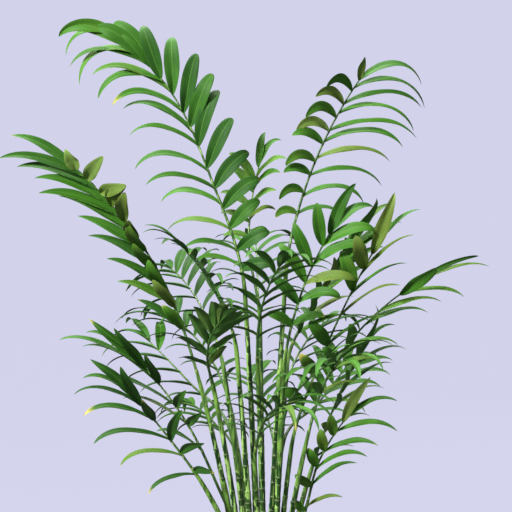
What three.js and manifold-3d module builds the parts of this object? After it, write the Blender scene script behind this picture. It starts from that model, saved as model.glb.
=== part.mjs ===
// Potted parlor palm: a clump of slender green canes in a plain round pot, with arching feather fronds.
// Millimetres, +Z up. The origin is the centre of the pot's flat underside, and -Y is the front.
import * as THREE from "three";
import { mergeVertices } from "three/addons/utils/BufferGeometryUtils.js";
import Module from "manifold-3d";

const wasm = await Module();
wasm.setup();

// Driving dimensions
const GAP = 0.3;
const SAME_PLACE = 1e-4;
const POT = {
  height: 240,
  rimRadius: 132,
  bodyRadius: 124,
  footRadius: 94,
  wall: 8,
  floor: 12,
  rimDepth: 32,
  lip: 3,
  footEdge: 2,
};
const POT_FACETS = 36;
const SOIL = { level: 215, crown: 4, crownRadius: 70, gap: 0.4 };
const CANE = {
  footRadius: 7.2,
  topRadius: 4.2,
  flare: 1.3,
  flareRise: 20,
  uprightStart: 0.25,
  sides: 7,
  stations: 6,
  stationCrowding: 1.4,
};
const RACHIS = { startRadius: 3.8, tipRadius: 1.5, taper: 0.8, faceUp: 0.35, sides: 4, stations: 8 };
const SIDE_START_TILT = 14;
const LEAFLET = {
  steps: 12,
  fullStep: 4,
  lateStep: 8,
  lateWidth: 0.8,
  thickness: 0.011,
  rootSize: 0.6,
  lastRoot: 0.995,
  lastOpening: 0.38,
  crowding: 1.15,
  taper: 0.78,
  longestAt: 0.68,
  stray: 0.22,
  splayStray: 6,
  liftStray: 8,
  lengthStray: 0.08,
  droopStray: 0.35,
  tipDroopPower: 5,
};
const FROND_HABIT = {
  start: 1,
  bend: null,
  pairs: 9,
  length: 150,
  tipLength: null,
  width: 25,
  first: 0.34,
  splay: [62, 34],
  lift: 28,
  liftGain: 0,
  roll: 0,
  droop: 0.7,
  tipDroop: 0.5,
  level: 0.5,
  curl: 0.35,
  tipWidth: null,
  other: {},
};

// The canes: where each leaves the soil, and where its tip stands.
const CANES = [
  { name: "cane_tall_left", foot: [-8, 2], top: [-34, -4, 756] },
  { name: "cane_tall_right", foot: [16, -2], top: [48, 9, 796] },
  { name: "cane_left_outer", foot: [-50, 20], top: [-120, 30, 555] },
  { name: "cane_left_low", foot: [-44, -6], top: [-113, -18, 371] },
  { name: "cane_left_front", foot: [-39, -34], top: [-92, -62, 560] },
  { name: "cane_left_inner", foot: [-29, 10], top: [-76, 14, 600] },
  { name: "cane_centre_left", foot: [-20, -20], top: [-50, -40, 640] },
  { name: "cane_centre_front", foot: [4, -26], top: [-8, -60, 590] },
  { name: "cane_centre_back", foot: [2, 24], top: [-4, 48, 700] },
  { name: "cane_right_front", foot: [26, -22], top: [42, -56, 600] },
  { name: "cane_right_outer", foot: [34, 8], top: [58, 14, 440] },
  { name: "cane_right_mid", foot: [44, -13], top: [82, -34, 440] },
  { name: "cane_right_low", foot: [54, 20], top: [94, 36, 380] },
  { name: "cane_right_back", foot: [24, 26], top: [52, 70, 610] },
  { name: "cane_back_left", foot: [-22, 38], top: [-62, 118, 500] },
  { name: "cane_back_right", foot: [14, 48], top: [34, 138, 480] },
  { name: "cane_front", foot: [-6, -48], top: [-14, -128, 430] },
];

// The fronds: the cane and the share of its height where each starts, a point half way, and the rachis tip.
const FRONDS = [
  {
    name: "frond_tall_left",
    cane: "cane_tall_left",
    middle: [-98, -20, 979],
    bend: [-199, -48, 1182],
    tip: [-262, -62, 1243],
    pairs: 14,
    first: 0.09,
    length: 124,
    tipLength: 172,
    width: 32,
    splay: [70, 12],
    lift: 24,
    liftGain: -14,
    roll: -114,
    droop: 0.5,
    tipDroop: 3,
    level: 0.15,
    curl: 1.1,
    other: {
      length: 172,
      width: 23,
      splay: [50, 9],
      lift: 28,
      liftGain: 0,
      droop: 0.95,
      tipDroop: 1.5,
      level: 0.64,
      curl: 0.4,
    },
  },
  {
    name: "frond_tall_right",
    cane: "cane_tall_right",
    middle: [88, 16, 972],
    tip: [196, 26, 1188],
    pairs: 10,
    first: 0.3,
    length: 185,
    width: 24,
    splay: [50, 36],
    lift: 36,
    roll: 122,
    droop: 1.25,
    tipDroop: 0.6,
    level: 0.66,
    curl: 0.2,
    other: {
      length: 90,
      tipLength: 60,
      width: 21,
      splay: [80, 64],
      lift: -4,
      droop: 1.6,
      level: 0.25,
      curl: 0.7,
    },
  },
  {
    name: "frond_left_high",
    cane: "cane_left_outer",
    middle: [-225, 0, 832],
    tip: [-366, -50, 1004],
    pairs: 11,
    first: 0.26,
    length: 132,
    tipLength: 58,
    width: 29,
    splay: [40, 84],
    lift: 88,
    liftGain: -50,
    roll: -124,
    droop: 0.5,
    tipDroop: 0,
    level: 0.2,
    curl: 0.9,
    other: {
      length: 178,
      tipLength: 150,
      width: 24,
      splay: [26, 10],
      lift: 40,
      liftGain: 0,
      droop: 0.5,
      tipDroop: 0.15,
      level: 0.55,
      curl: 0.2,
    },
  },
  {
    name: "frond_left_mid",
    cane: "cane_left_outer",
    start: 0.42,
    middle: [-150, -8, 500],
    tip: [-250, -48, 634],
    pairs: 6,
    first: 0.3,
    length: 135,
    width: 21,
    splay: [84, 20],
    lift: 42,
    liftGain: 20,
    roll: -126,
    droop: 0.5,
    level: 0.2,
    curl: 0.7,
    other: {
      length: 185,
      width: 18,
      splay: [26, 8],
      lift: 40,
      liftGain: 0,
      droop: 0.14,
      level: 0.72,
    },
  },
  {
    name: "frond_left_low",
    cane: "cane_left_low",
    middle: [-182, -40, 472],
    tip: [-250, -70, 558],
    pairs: 6,
    first: 0.16,
    length: 125,
    width: 22,
    splay: [86, 24],
    lift: 42,
    liftGain: 10,
    roll: -126,
    droop: 0.6,
    level: 0.2,
    curl: 0.7,
    other: {
      length: 165,
      width: 18,
      splay: [52, 10],
      lift: 40,
      liftGain: 0,
      droop: 0.42,
      tipDroop: 0.1,
      level: 0.7,
    },
  },
  {
    name: "frond_centre_young",
    cane: "cane_centre_back",
    middle: [-27, 56, 870],
    tip: [-6, 62, 1015],
    pairs: 6,
    first: 0.55,
    length: 86,
    width: 20,
    roll: -35,
    curl: 0.5,
  },
  {
    name: "frond_right_high",
    cane: "cane_right_front",
    middle: [74, -72, 753],
    tip: [130, -95, 876],
    pairs: 6,
    length: 120,
    width: 25,
    splay: [48, 24],
    lift: 32,
    roll: 112,
    droop: 0.5,
    curl: 0.9,
    other: { length: 100, splay: [60, 40], level: 0.2 },
  },
  {
    name: "frond_right_back",
    cane: "cane_right_back",
    middle: [100, 82, 725],
    tip: [168, 95, 840],
    pairs: 7,
    first: 0.25,
    length: 165,
    width: 21,
    splay: [24, 10],
    lift: 40,
    roll: 126,
    droop: 0.3,
    tipDroop: 0.8,
    level: 0.7,
    other: { length: 92, width: 26, splay: [60, 34], level: 0.2, curl: 1 },
  },
  {
    name: "frond_right_outer",
    cane: "cane_right_outer",
    middle: [122, -26, 640],
    tip: [214, -80, 838],
    pairs: 7,
    first: 0.25,
    length: 150,
    width: 21,
    splay: [28, 14],
    lift: 40,
    roll: 128,
    droop: 0.3,
    level: 0.7,
    other: { length: 96, width: 29, splay: [66, 40], level: 0.15, curl: 1 },
  },
  {
    name: "frond_far_right",
    cane: "cane_right_mid",
    middle: [137, -48, 611],
    tip: [293, -62, 774],
    pairs: 7,
    first: 0.3,
    length: 130,
    tipLength: 185,
    width: 20,
    tipWidth: 11,
    splay: [34, 12],
    lift: 40,
    roll: 130,
    droop: 0.5,
    tipDroop: 0.3,
    level: 0.7,
    other: { length: 104, width: 28, splay: [60, 24], level: 0.3, curl: 1 },
  },
  {
    name: "frond_right_low_back",
    cane: "cane_right_low",
    middle: [139, 48, 507],
    tip: [190, 60, 622],
    pairs: 6,
    first: 0.2,
    length: 135,
    width: 15,
    splay: [38, 20],
    lift: 40,
    roll: 132,
    droop: 0.55,
    level: 0.8,
    other: { length: 72, width: 24, splay: [66, 36], level: 0.2, curl: 1 },
  },
  {
    name: "frond_right_low",
    cane: "cane_right_low",
    start: 0.5,
    middle: [115, -10, 427],
    tip: [160, -40, 506],
    pairs: 6,
    first: 0.12,
    length: 140,
    width: 16,
    splay: [40, 22],
    lift: 40,
    roll: 130,
    droop: 0.5,
    level: 0.6,
    other: { length: 62, width: 22, splay: [62, 30], level: 0.2, curl: 1 },
  },
  {
    name: "frond_front_left",
    cane: "cane_left_front",
    middle: [-104, -150, 650],
    tip: [-80, -236, 710],
    pairs: 6,
    length: 104,
    width: 26,
    splay: [44, 20],
    lift: 20,
    droop: 0.15,
    level: 0.5,
  },
  {
    name: "frond_front_left_high",
    cane: "cane_centre_left",
    middle: [-84, -95, 752],
    tip: [-140, -170, 838],
    pairs: 7,
    length: 118,
    width: 19,
    lift: 12,
    roll: -30,
    droop: 0.6,
    level: 0.95,
  },
  {
    name: "frond_front_centre",
    cane: "cane_centre_front",
    middle: [-4, -130, 720],
    tip: [30, -225, 812],
    pairs: 7,
    length: 118,
    width: 21,
    lift: 12,
    droop: 0.6,
    level: 0.8,
  },
  {
    name: "frond_front_low",
    cane: "cane_front",
    middle: [0, -205, 520],
    tip: [38, -330, 565],
    pairs: 6,
    length: 130,
    width: 16,
    droop: 0.7,
    level: 0.98,
  },
  {
    name: "frond_front_right",
    cane: "cane_right_front",
    start: 0.75,
    middle: [95, -180, 610],
    tip: [145, -295, 645],
    pairs: 6,
    length: 125,
    width: 18,
    roll: 25,
    droop: 0.6,
    level: 0.95,
  },
  {
    name: "frond_back_left_high",
    cane: "cane_left_inner",
    middle: [-130, 110, 735],
    tip: [-195, 230, 805],
    pairs: 7,
    length: 140,
    width: 23,
    lift: 14,
    roll: -30,
    level: 0.95,
  },
  {
    name: "frond_back_left",
    cane: "cane_back_left",
    middle: [-120, 210, 630],
    tip: [-205, 310, 700],
    pairs: 7,
    length: 145,
    width: 20,
    lift: 14,
    level: 0.95,
  },
  {
    name: "frond_back_left_low",
    cane: "cane_back_left",
    start: 0.7,
    middle: [-100, 230, 470],
    tip: [-150, 330, 500],
    pairs: 6,
    length: 135,
    width: 20,
    lift: 14,
    droop: 0.9,
    level: 0.95,
  },
  {
    name: "frond_left_back",
    cane: "cane_left_inner",
    start: 0.7,
    middle: [-150, 110, 570],
    tip: [-240, 200, 650],
    pairs: 6,
    length: 140,
    width: 24,
    lift: 14,
    roll: -20,
    level: 0.95,
  },
  {
    name: "frond_back_high",
    cane: "cane_centre_back",
    start: 0.8,
    middle: [-8, 165, 770],
    tip: [-12, 300, 870],
    pairs: 8,
    length: 145,
    width: 20,
    lift: 14,
    level: 0.95,
  },
  {
    name: "frond_back_right",
    cane: "cane_back_right",
    middle: [80, 240, 620],
    tip: [150, 350, 690],
    pairs: 7,
    length: 145,
    width: 20,
    lift: 14,
    level: 0.95,
  },
  {
    name: "frond_back_low",
    cane: "cane_back_right",
    start: 0.72,
    middle: [10, 260, 490],
    tip: [-20, 380, 560],
    pairs: 7,
    length: 140,
    width: 20,
    lift: 14,
    droop: 0.9,
    level: 0.95,
  },
  {
    name: "frond_right_back_low",
    cane: "cane_right_back",
    start: 0.6,
    middle: [118, 165, 520],
    tip: [185, 270, 590],
    pairs: 6,
    length: 140,
    roll: 20,
  },
];

const UP = new THREE.Vector3(0, 0, 1);
const DEGREE = Math.PI / 180;

// An even draw from -1 to 1 that depends only on its three whole numbers.
function draw(plant, item, use) {
  let mixed = Math.imul(plant + 1, 374761393);
  mixed = (mixed + Math.imul(item + 1, 668265263)) | 0;
  mixed = (mixed + Math.imul(use + 1, 1442695041)) | 0;
  mixed = Math.imul(mixed ^ (mixed >>> 13), 1274126177);
  mixed ^= mixed >>> 16;
  return (mixed >>> 0) / 2147483648 - 1;
}

function point([x, y, z]) {
  return new THREE.Vector3(x, y, z);
}

function mix(from, to, share) {
  return from + (to - from) * share;
}

// The part of a vector that stands square to a unit direction, as a unit vector.
function squareTo(vector, direction) {
  return vector.clone().addScaledVector(direction, -vector.dot(direction)).normalize();
}

// A smooth way through a few points that sets out in a given direction.
class Way {
  constructor(points, setOut) {
    this.points = points;
    this.spans = points.slice(1).map((p, i) => p.distanceTo(points[i]));
    this.length = this.spans.reduce((sum, span) => sum + span, 0);
    const chords = points.slice(1).map((p, i) => p.clone().sub(points[i]).normalize());
    this.headings = [setOut.clone().normalize()];
    for (let i = 1; i < chords.length; i++) {
      const blend = chords[i - 1].clone().multiplyScalar(this.spans[i]);
      this.headings.push(blend.addScaledVector(chords[i], this.spans[i - 1]).normalize());
    }
    const last = chords[chords.length - 1];
    const bent = last.clone().multiplyScalar(2).sub(this.headings[chords.length - 1]);
    this.headings.push(bent.normalize());
  }

  at(share) {
    let left = share * this.length;
    let i = 0;
    while (i < this.spans.length - 1 && left > this.spans[i]) {
      left -= this.spans[i];
      i++;
    }
    const span = this.spans[i];
    const u = left / span;
    const place = new THREE.Vector3()
      .addScaledVector(this.points[i], 2 * u ** 3 - 3 * u ** 2 + 1)
      .addScaledVector(this.headings[i], span * (u ** 3 - 2 * u ** 2 + u))
      .addScaledVector(this.points[i + 1], 3 * u ** 2 - 2 * u ** 3)
      .addScaledVector(this.headings[i + 1], span * (u ** 3 - u ** 2));
    const along = new THREE.Vector3()
      .addScaledVector(this.points[i], (6 * u ** 2 - 6 * u) / span)
      .addScaledVector(this.headings[i], 3 * u ** 2 - 4 * u + 1)
      .addScaledVector(this.points[i + 1], (6 * u - 6 * u ** 2) / span)
      .addScaledVector(this.headings[i + 1], 3 * u ** 2 - 2 * u)
      .normalize();
    return { place, along };
  }
}

// A closed skin over rings of points. The first ring is capped, and the last is capped or is one point.
function skinOver(rings) {
  const positions = [];
  const triangle = (a, b, c) => positions.push(...a.toArray(), ...b.toArray(), ...c.toArray());
  for (let r = 1; r < rings.length; r++) {
    const low = rings[r - 1];
    const high = rings[r];
    for (let i = 0; i < low.length; i++) {
      const j = (i + 1) % low.length;
      if (high.length === 1) {
        triangle(low[i], low[j], high[0]);
      } else {
        triangle(low[i], low[j], high[j]);
        triangle(low[i], high[j], high[i]);
      }
    }
  }
  const cap = (ring, turned) => {
    for (let i = 1; i < ring.length - 1; i++) {
      triangle(ring[0], ring[turned ? i + 1 : i], ring[turned ? i : i + 1]);
    }
  };
  cap(rings[0], true);
  cap(rings[rings.length - 1], false);
  const geometry = new THREE.BufferGeometry();
  geometry.setAttribute("position", new THREE.Float32BufferAttribute(positions, 3));
  return geometry;
}

function ringRound(centre, first, second, radius, sides) {
  return Array.from({ length: sides }, (_, i) => {
    const angle = (2 * Math.PI * i) / sides;
    return centre
      .clone()
      .addScaledVector(first, radius * Math.cos(angle))
      .addScaledVector(second, radius * Math.sin(angle));
  });
}

function solidFrom(geometry) {
  const bare = geometry.index ? geometry.toNonIndexed() : geometry;
  bare.deleteAttribute("normal");
  bare.deleteAttribute("uv");
  const merged = mergeVertices(bare, SAME_PLACE);
  return new wasm.Manifold(
    new wasm.Mesh({
      numProp: 3,
      vertProperties: merged.attributes.position.array,
      triVerts: new Uint32Array(merged.index.array),
    }),
  );
}

function geometryFrom(solid) {
  const { numProp, vertProperties, triVerts } = solid.getMesh();
  const positions = new Float32Array((vertProperties.length / numProp) * 3);
  for (let i = 0; i < positions.length / 3; i++) {
    positions.set(vertProperties.subarray(i * numProp, i * numProp + 3), i * 3);
  }
  return new THREE.BufferGeometry()
    .setAttribute("position", new THREE.BufferAttribute(positions, 3))
    .setIndex(new THREE.BufferAttribute(triVerts, 1));
}

// The canes

function caneWay(cane) {
  const foot = point([...cane.foot, SOIL.level + SOIL.crown + GAP]);
  const top = point(cane.top);
  const lean = top.clone().sub(foot).normalize();
  return new Way([foot, top], lean.lerp(UP, CANE.uprightStart));
}

function caneRadius(share, height) {
  const flare = 1 + (CANE.flare - 1) * Math.exp((-share * height) / CANE.flareRise);
  return mix(CANE.footRadius, CANE.topRadius, share) * flare;
}

function caneGeometry(cane) {
  const way = caneWay(cane);
  const rings = [];
  for (let i = 0; i < CANE.stations; i++) {
    const share = (i / (CANE.stations - 1)) ** CANE.stationCrowding;
    const { place, along } = way.at(share);
    const flat = i === 0 ? UP : along;
    const first = squareTo(new THREE.Vector3(1, 0, 0), flat);
    const second = flat.clone().cross(first);
    rings.push(ringRound(place, first, second, caneRadius(share, way.length), CANE.sides));
  }
  return skinOver(rings);
}

// The fronds

function startOf(frond, way) {
  const { place, along } = way.at(frond.start);
  if (frond.start === 1) {
    return { from: place.addScaledVector(along, GAP), heading: along };
  }
  const outward = squareTo(point(frond.middle).sub(place).setZ(0), along);
  const reach = caneRadius(frond.start, way.length) + RACHIS.startRadius + GAP;
  const heading = along.clone().multiplyScalar(Math.cos(SIDE_START_TILT * DEGREE));
  heading.addScaledVector(outward, Math.sin(SIDE_START_TILT * DEGREE));
  return { from: place.addScaledVector(outward, reach), heading };
}

// One frond's habit, its way, and the direction in which it leans.
function frondPlan(sizes) {
  const frond = { ...FROND_HABIT, ...sizes };
  const cane = CANES.find(({ name }) => name === frond.cane);
  const { from, heading } = startOf(frond, caneWay(cane));
  const bends = [frond.middle, frond.bend, frond.tip].filter(Boolean).map(point);
  const way = new Way([from, ...bends], heading);
  const lean = point(frond.tip).sub(from).setZ(0).normalize();
  return { ...frond, way, lean };
}

// The upper side of a rachis: inward while it stands, and up where it lies.
function upperSide(plan, along) {
  return squareTo(UP.clone().multiplyScalar(RACHIS.faceUp).sub(plan.lean), along);
}

function rachisRadius(share) {
  return mix(RACHIS.startRadius, RACHIS.tipRadius, share ** RACHIS.taper);
}

function rachisStation(plan, i) {
  const share = i / (RACHIS.stations - 1);
  const { place, along } = plan.way.at(share);
  return { place, along, share };
}

function rachisGeometry(plan) {
  const rings = [];
  for (let i = 0; i < RACHIS.stations; i++) {
    const { place, along, share } = rachisStation(plan, i);
    const first = upperSide(plan, along);
    const second = along.clone().cross(first);
    rings.push(ringRound(place, first, second, rachisRadius(share), RACHIS.sides));
  }
  return skinOver(rings);
}

// A place on the straight pieces between the stations of the rachis, where a leaflet is rooted.
function rootAt(plan, share) {
  const scaled = share * (RACHIS.stations - 1);
  const i = Math.min(Math.floor(scaled), RACHIS.stations - 2);
  const low = rachisStation(plan, i);
  const high = rachisStation(plan, i + 1);
  const place = low.place.clone().lerp(high.place, scaled - i);
  return { place, along: plan.way.at(share).along };
}

// Where one leaflet grows and how it runs: a chain of places with its heading and its upper face.
function leafletRun(plan, index, pair, side, number) {
  const habit = side > 0 ? plan : { ...plan, ...plan.other };
  const last = pair === plan.pairs - 1;
  const far = pair / (plan.pairs - 1);
  const shift = last ? 0 : (LEAFLET.stray * draw(index, number, 0)) / plan.pairs;
  const reached = 1 - (1 - far) ** LEAFLET.crowding;
  const share = mix(plan.first, LEAFLET.lastRoot, reached) + shift * (1 - plan.first);
  const { place, along } = rootAt(plan, share);
  const settled = Math.min(1, share / plan.first);
  const upper = upperSide(plan, along).applyAxisAngle(along, plan.roll * settled * DEGREE);
  const across = along.clone().cross(upper).multiplyScalar(side);
  const opening = mix(habit.splay[0], habit.splay[1], far) * (last ? LEAFLET.lastOpening : 1);
  const splay = (opening + LEAFLET.splayStray * draw(index, number, 1)) * DEGREE;
  const raise = habit.lift + habit.liftGain * far;
  const lift = (raise + LEAFLET.liftStray * draw(index, number, 2)) * DEGREE;
  const heading = along
    .clone()
    .multiplyScalar(Math.cos(splay))
    .addScaledVector(across, Math.sin(splay) * Math.cos(lift))
    .addScaledVector(upper, Math.sin(splay) * Math.sin(lift));
  const size = 1 - LEAFLET.taper * (far - LEAFLET.longestAt) ** 2;
  const fullLength = last ? habit.tipLength ?? plan.length : habit.length;
  const length = fullLength * size * (1 + LEAFLET.lengthStray * draw(index, number, 3));
  const tipFall = 1 + habit.tipDroop * far ** LEAFLET.tipDroopPower;
  const fall = habit.droop * tipFall * (1 + LEAFLET.droopStray * draw(index, number, 4));
  const fullWidth = last ? habit.tipWidth ?? habit.width : habit.width;
  let face = squareTo(upper.clone().lerp(UP, habit.level), heading);
  const steps = [{ place, heading: heading.clone(), face: face.clone() }];
  const here = place.clone();
  for (let i = 1; i <= LEAFLET.steps; i++) {
    heading.addScaledVector(UP, (-2 * fall * i) / LEAFLET.steps ** 2);
    heading.addScaledVector(face, (-4 * habit.curl * i ** 3) / LEAFLET.steps ** 4).normalize();
    face = squareTo(face, heading);
    here.addScaledVector(heading, length / LEAFLET.steps);
    steps.push({ place: here.clone(), heading: heading.clone(), face: face.clone() });
  }
  const root = LEAFLET.rootSize * rachisRadius(share);
  return { steps, length, width: fullWidth * Math.sqrt(size), root };
}

// The leaflet as a thin keeled blade, thicker and wider all round by grow.
function leafletGeometry({ steps, length, width, root }, grow) {
  const section = (i, halfWidth, thickness) => {
    const { place, heading, face } = steps[i];
    const across = heading.clone().cross(face);
    return [
      place.clone().addScaledVector(across, halfWidth + grow).addScaledVector(face, grow),
      place.clone().addScaledVector(face, -thickness - grow),
      place.clone().addScaledVector(across, -halfWidth - grow).addScaledVector(face, grow),
    ];
  };
  const thickness = length * LEAFLET.thickness;
  return skinOver([
    section(0, root, root),
    section(LEAFLET.fullStep, width / 2, thickness),
    section(LEAFLET.lateStep, (width * LEAFLET.lateWidth) / 2, thickness),
    [steps[LEAFLET.steps].place.clone().addScaledVector(steps[LEAFLET.steps].heading, grow)],
  ]);
}

// Everything that stands so far, so that a leaflet that would touch a neighbour is left out.
const standing = [];

function stand(owner, solid) {
  standing.push({ owner, solid, box: solid.boundingBox() });
}

function boxesMeet(a, b) {
  return [0, 1, 2].every((k) => a.min[k] <= b.max[k] && b.min[k] <= a.max[k]);
}

function isClear(owner, solid) {
  const box = solid.boundingBox();
  return !standing.some((other) => {
    if (other.owner === owner || !boxesMeet(box, other.box)) return false;
    const shared = other.solid.intersect(solid);
    const met = !shared.isEmpty();
    shared.delete();
    return met;
  });
}

function frondSolid(plan, index) {
  const pieces = [plan.rachis];
  let number = 0;
  for (let pair = plan.pairs - 1; pair >= 0; pair--) {
    for (const side of [1, -1]) {
      const run = leafletRun(plan, index, pair, side, number);
      number++;
      const leaflet = solidFrom(leafletGeometry(run, 0));
      if (!isClear(plan.name, solidFrom(leafletGeometry(run, GAP)))) continue;
      stand(plan.name, leaflet);
      pieces.push(leaflet);
    }
  }
  return wasm.Manifold.union(pieces);
}

// The pot and its soil

function turned(profile) {
  return new THREE.LatheGeometry(
    profile.map(([radius, height]) => new THREE.Vector2(radius, height)),
    POT_FACETS,
  ).rotateX(Math.PI / 2);
}

function innerRadius(height) {
  return mix(POT.footRadius, POT.bodyRadius, height / POT.height) - POT.wall;
}

function potGeometry() {
  const underRim = POT.height - POT.rimDepth;
  return turned([
    [0, 0],
    [POT.footRadius - POT.footEdge, 0],
    [POT.footRadius, POT.footEdge],
    [mix(POT.footRadius, POT.bodyRadius, underRim / POT.height), underRim],
    [POT.rimRadius - POT.lip, underRim],
    [POT.rimRadius, underRim + POT.lip],
    [POT.rimRadius, POT.height - POT.lip],
    [POT.rimRadius - POT.lip, POT.height],
    [innerRadius(POT.height) + POT.lip, POT.height],
    [innerRadius(POT.height), POT.height - POT.lip],
    [innerRadius(POT.floor), POT.floor],
    [0, POT.floor],
  ]);
}

function soilGeometry() {
  const bottom = POT.floor + SOIL.gap;
  return turned([
    [0, bottom],
    [innerRadius(bottom) - SOIL.gap, bottom],
    [innerRadius(SOIL.level) - SOIL.gap, SOIL.level],
    [SOIL.crownRadius, SOIL.level + SOIL.crown],
    [0, SOIL.level + SOIL.crown],
  ]);
}

const finishes = {
  pot: { color: 0xb5684a, roughness: 0.85, metalness: 0 },
  soil: { color: 0x33261c, roughness: 1, metalness: 0 },
  cane: { color: 0x6f9a45, roughness: 0.38, metalness: 0 },
  frond: { color: 0x3f7a2c, roughness: 0.5, metalness: 0 },
};

const palm = new THREE.Group();

function add(name, geometry, finish) {
  const mesh = new THREE.Mesh(geometry, new THREE.MeshStandardMaterial(finishes[finish]));
  mesh.name = name;
  palm.add(mesh);
}

add("pot", potGeometry(), "pot");
add("soil", soilGeometry(), "soil");
for (const cane of CANES) {
  const geometry = caneGeometry(cane);
  stand(cane.name, solidFrom(geometry.clone()));
  add(cane.name, geometry, "cane");
}
const plans = FRONDS.map(frondPlan);
for (const plan of plans) {
  plan.rachis = solidFrom(rachisGeometry(plan));
  stand(plan.name, plan.rachis);
}
plans.forEach((plan, index) => {
  add(plan.name, geometryFrom(frondSolid(plan, index)), "frond");
});

export default palm;
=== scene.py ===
"""Dresses the potted parlor palm: canes, leaf sheaths, rachises, leaflets, a clay pot and its soil.

Everything is in metres in the part's own frame: +Z is up, the origin lies under the middle of the
pot, and -Y is the front. The canes and fronds follow the same sizes and the same seeded rule as the
part's solids, so each piece grows where its solid stands.
"""

import logging
import math
import random
from collections.abc import Mapping
from dataclasses import dataclass, field, replace
from enum import Enum, IntEnum
from itertools import pairwise

import bpy
import numpy as np
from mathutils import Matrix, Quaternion, Vector
from mathutils.kdtree import KDTree
from mathutils.noise import noise


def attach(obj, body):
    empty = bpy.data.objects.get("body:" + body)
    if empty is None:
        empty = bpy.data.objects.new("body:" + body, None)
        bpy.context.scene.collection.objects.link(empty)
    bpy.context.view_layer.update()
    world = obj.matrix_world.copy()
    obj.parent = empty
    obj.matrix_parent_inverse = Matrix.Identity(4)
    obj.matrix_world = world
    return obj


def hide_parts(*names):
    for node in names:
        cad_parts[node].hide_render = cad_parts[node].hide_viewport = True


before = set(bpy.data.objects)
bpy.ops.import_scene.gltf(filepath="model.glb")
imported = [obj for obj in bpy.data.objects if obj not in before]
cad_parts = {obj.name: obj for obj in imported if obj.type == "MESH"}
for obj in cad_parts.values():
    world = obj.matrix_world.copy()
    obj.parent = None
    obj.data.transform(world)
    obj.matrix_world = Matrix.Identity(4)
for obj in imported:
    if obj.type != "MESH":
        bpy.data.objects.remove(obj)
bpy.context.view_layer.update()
log = logging.getLogger("parlor_palm")

UP = Vector((0, 0, 1))
RIGHT = Vector((1, 0, 0))
GAP = 0.0003
SAME_POINT = 0.0004
DRAW_FACTORS = (374761393, 668265263, 1442695041)
DRAW_SCRAMBLE = 1274126177
WORD = 0xFFFFFFFF
HALF_WORD = 0x80000000
CRISP = 50
ALL_SMOOTH = 180
Pair = tuple[float, float]
Point = tuple[float, float, float]
Colour = tuple[float, float, float]
Lumps = tuple[Point, float]
Curved = Vector | np.ndarray


# Numbers and ways


class Use(IntEnum):
    """What a draw is for. The first five are those of the part's solids."""

    SHIFT = 0
    SPLAY = 1
    LIFT = 2
    LENGTH = 3
    DROOP = 4
    TWIST = 10
    BOW = 11
    FOLD = 12
    WAVE_RATE = 13
    WAVE_SHIFT = 14
    HUE = 16
    ODD_HUE = 17
    DRY = 18
    SHEATH = 19
    JOINT = 20
    JOINT_TONE = 21


def draw(plant: int, item: int, use: Use) -> float:
    """An even draw from -1 to 1 that depends only on its three whole numbers.

    Args:
        plant: The number of the frond or cane.
        item: The number of the leaflet or ring on it.
        use: What the draw is for.

    Returns:
        The draw.
    """
    numbers = zip((plant, item, use), DRAW_FACTORS, strict=True)
    mixed = sum((number + 1) * factor for number, factor in numbers) & WORD
    mixed = ((mixed ^ (mixed >> 13)) * DRAW_SCRAMBLE) & WORD
    mixed ^= mixed >> 16
    return mixed / HALF_WORD - 1


def draw_share(plant: int, item: int, use: Use) -> float:
    """The same draw as a share from 0 to 1."""
    return 0.5 + 0.5 * draw(plant, item, use)


def mix(start: float, end: float, share: float) -> float:
    """The number that lies a share of the way from start to end."""
    return start + (end - start) * share


def square_to(vector: Vector, direction: Vector) -> Vector:
    """The part of a vector that stands square to a unit direction, as a unit vector."""
    return (vector - direction * vector.dot(direction)).normalized()


def smooth(values: np.ndarray, low: float, high: float) -> np.ndarray:
    """A soft step from 0 below low to 1 above high, for numbers or arrays."""
    share = np.clip((values - low) / (high - low), 0, 1)
    return share * share * (3 - 2 * share)


def unit(rows: np.ndarray) -> np.ndarray:
    """Each row of three numbers scaled to length 1."""
    return rows / np.linalg.norm(rows, axis=-1, keepdims=True)


def spaced(rows: np.ndarray, shortest: float) -> np.ndarray:
    """The numbers in order, less those that follow closer than the shortest step."""
    rows = np.unique(rows)
    return rows[np.concatenate([[True], np.diff(rows) > shortest])]


def curve(start: Curved, end: Curved, leave: Curved, arrive: Curved,
          u: float | np.ndarray) -> tuple[Curved, Curved]:
    """A place on a curved span, for one place or for rows of them.

    Args:
        start: Where the span starts.
        end: Where it ends.
        leave: Its slope at the start, over the whole span.
        arrive: Its slope at the end.
        u: The share of the span, from 0 to 1.

    Returns:
        The place and the slope there.
    """
    place = start * (2 * u**3 - 3 * u**2 + 1) + leave * (u**3 - 2 * u**2 + u)
    place = place + (end * (3 * u**2 - 2 * u**3) + arrive * (u**3 - u**2))
    slope = (start - end) * (6 * u**2 - 6 * u) + leave * (3 * u**2 - 4 * u + 1)
    return place, slope + arrive * (3 * u**2 - 2 * u)


@dataclass(frozen=True)
class Bump:
    """A soft bell shape: where its middle lies, how wide it is and how high."""

    middle: float
    width: float
    height: float = 1

    def at(self, off: np.ndarray) -> np.ndarray:
        """The share of its height that it reaches at each place."""
        return np.exp(-(((off - self.middle) / self.width) ** 2))


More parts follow.
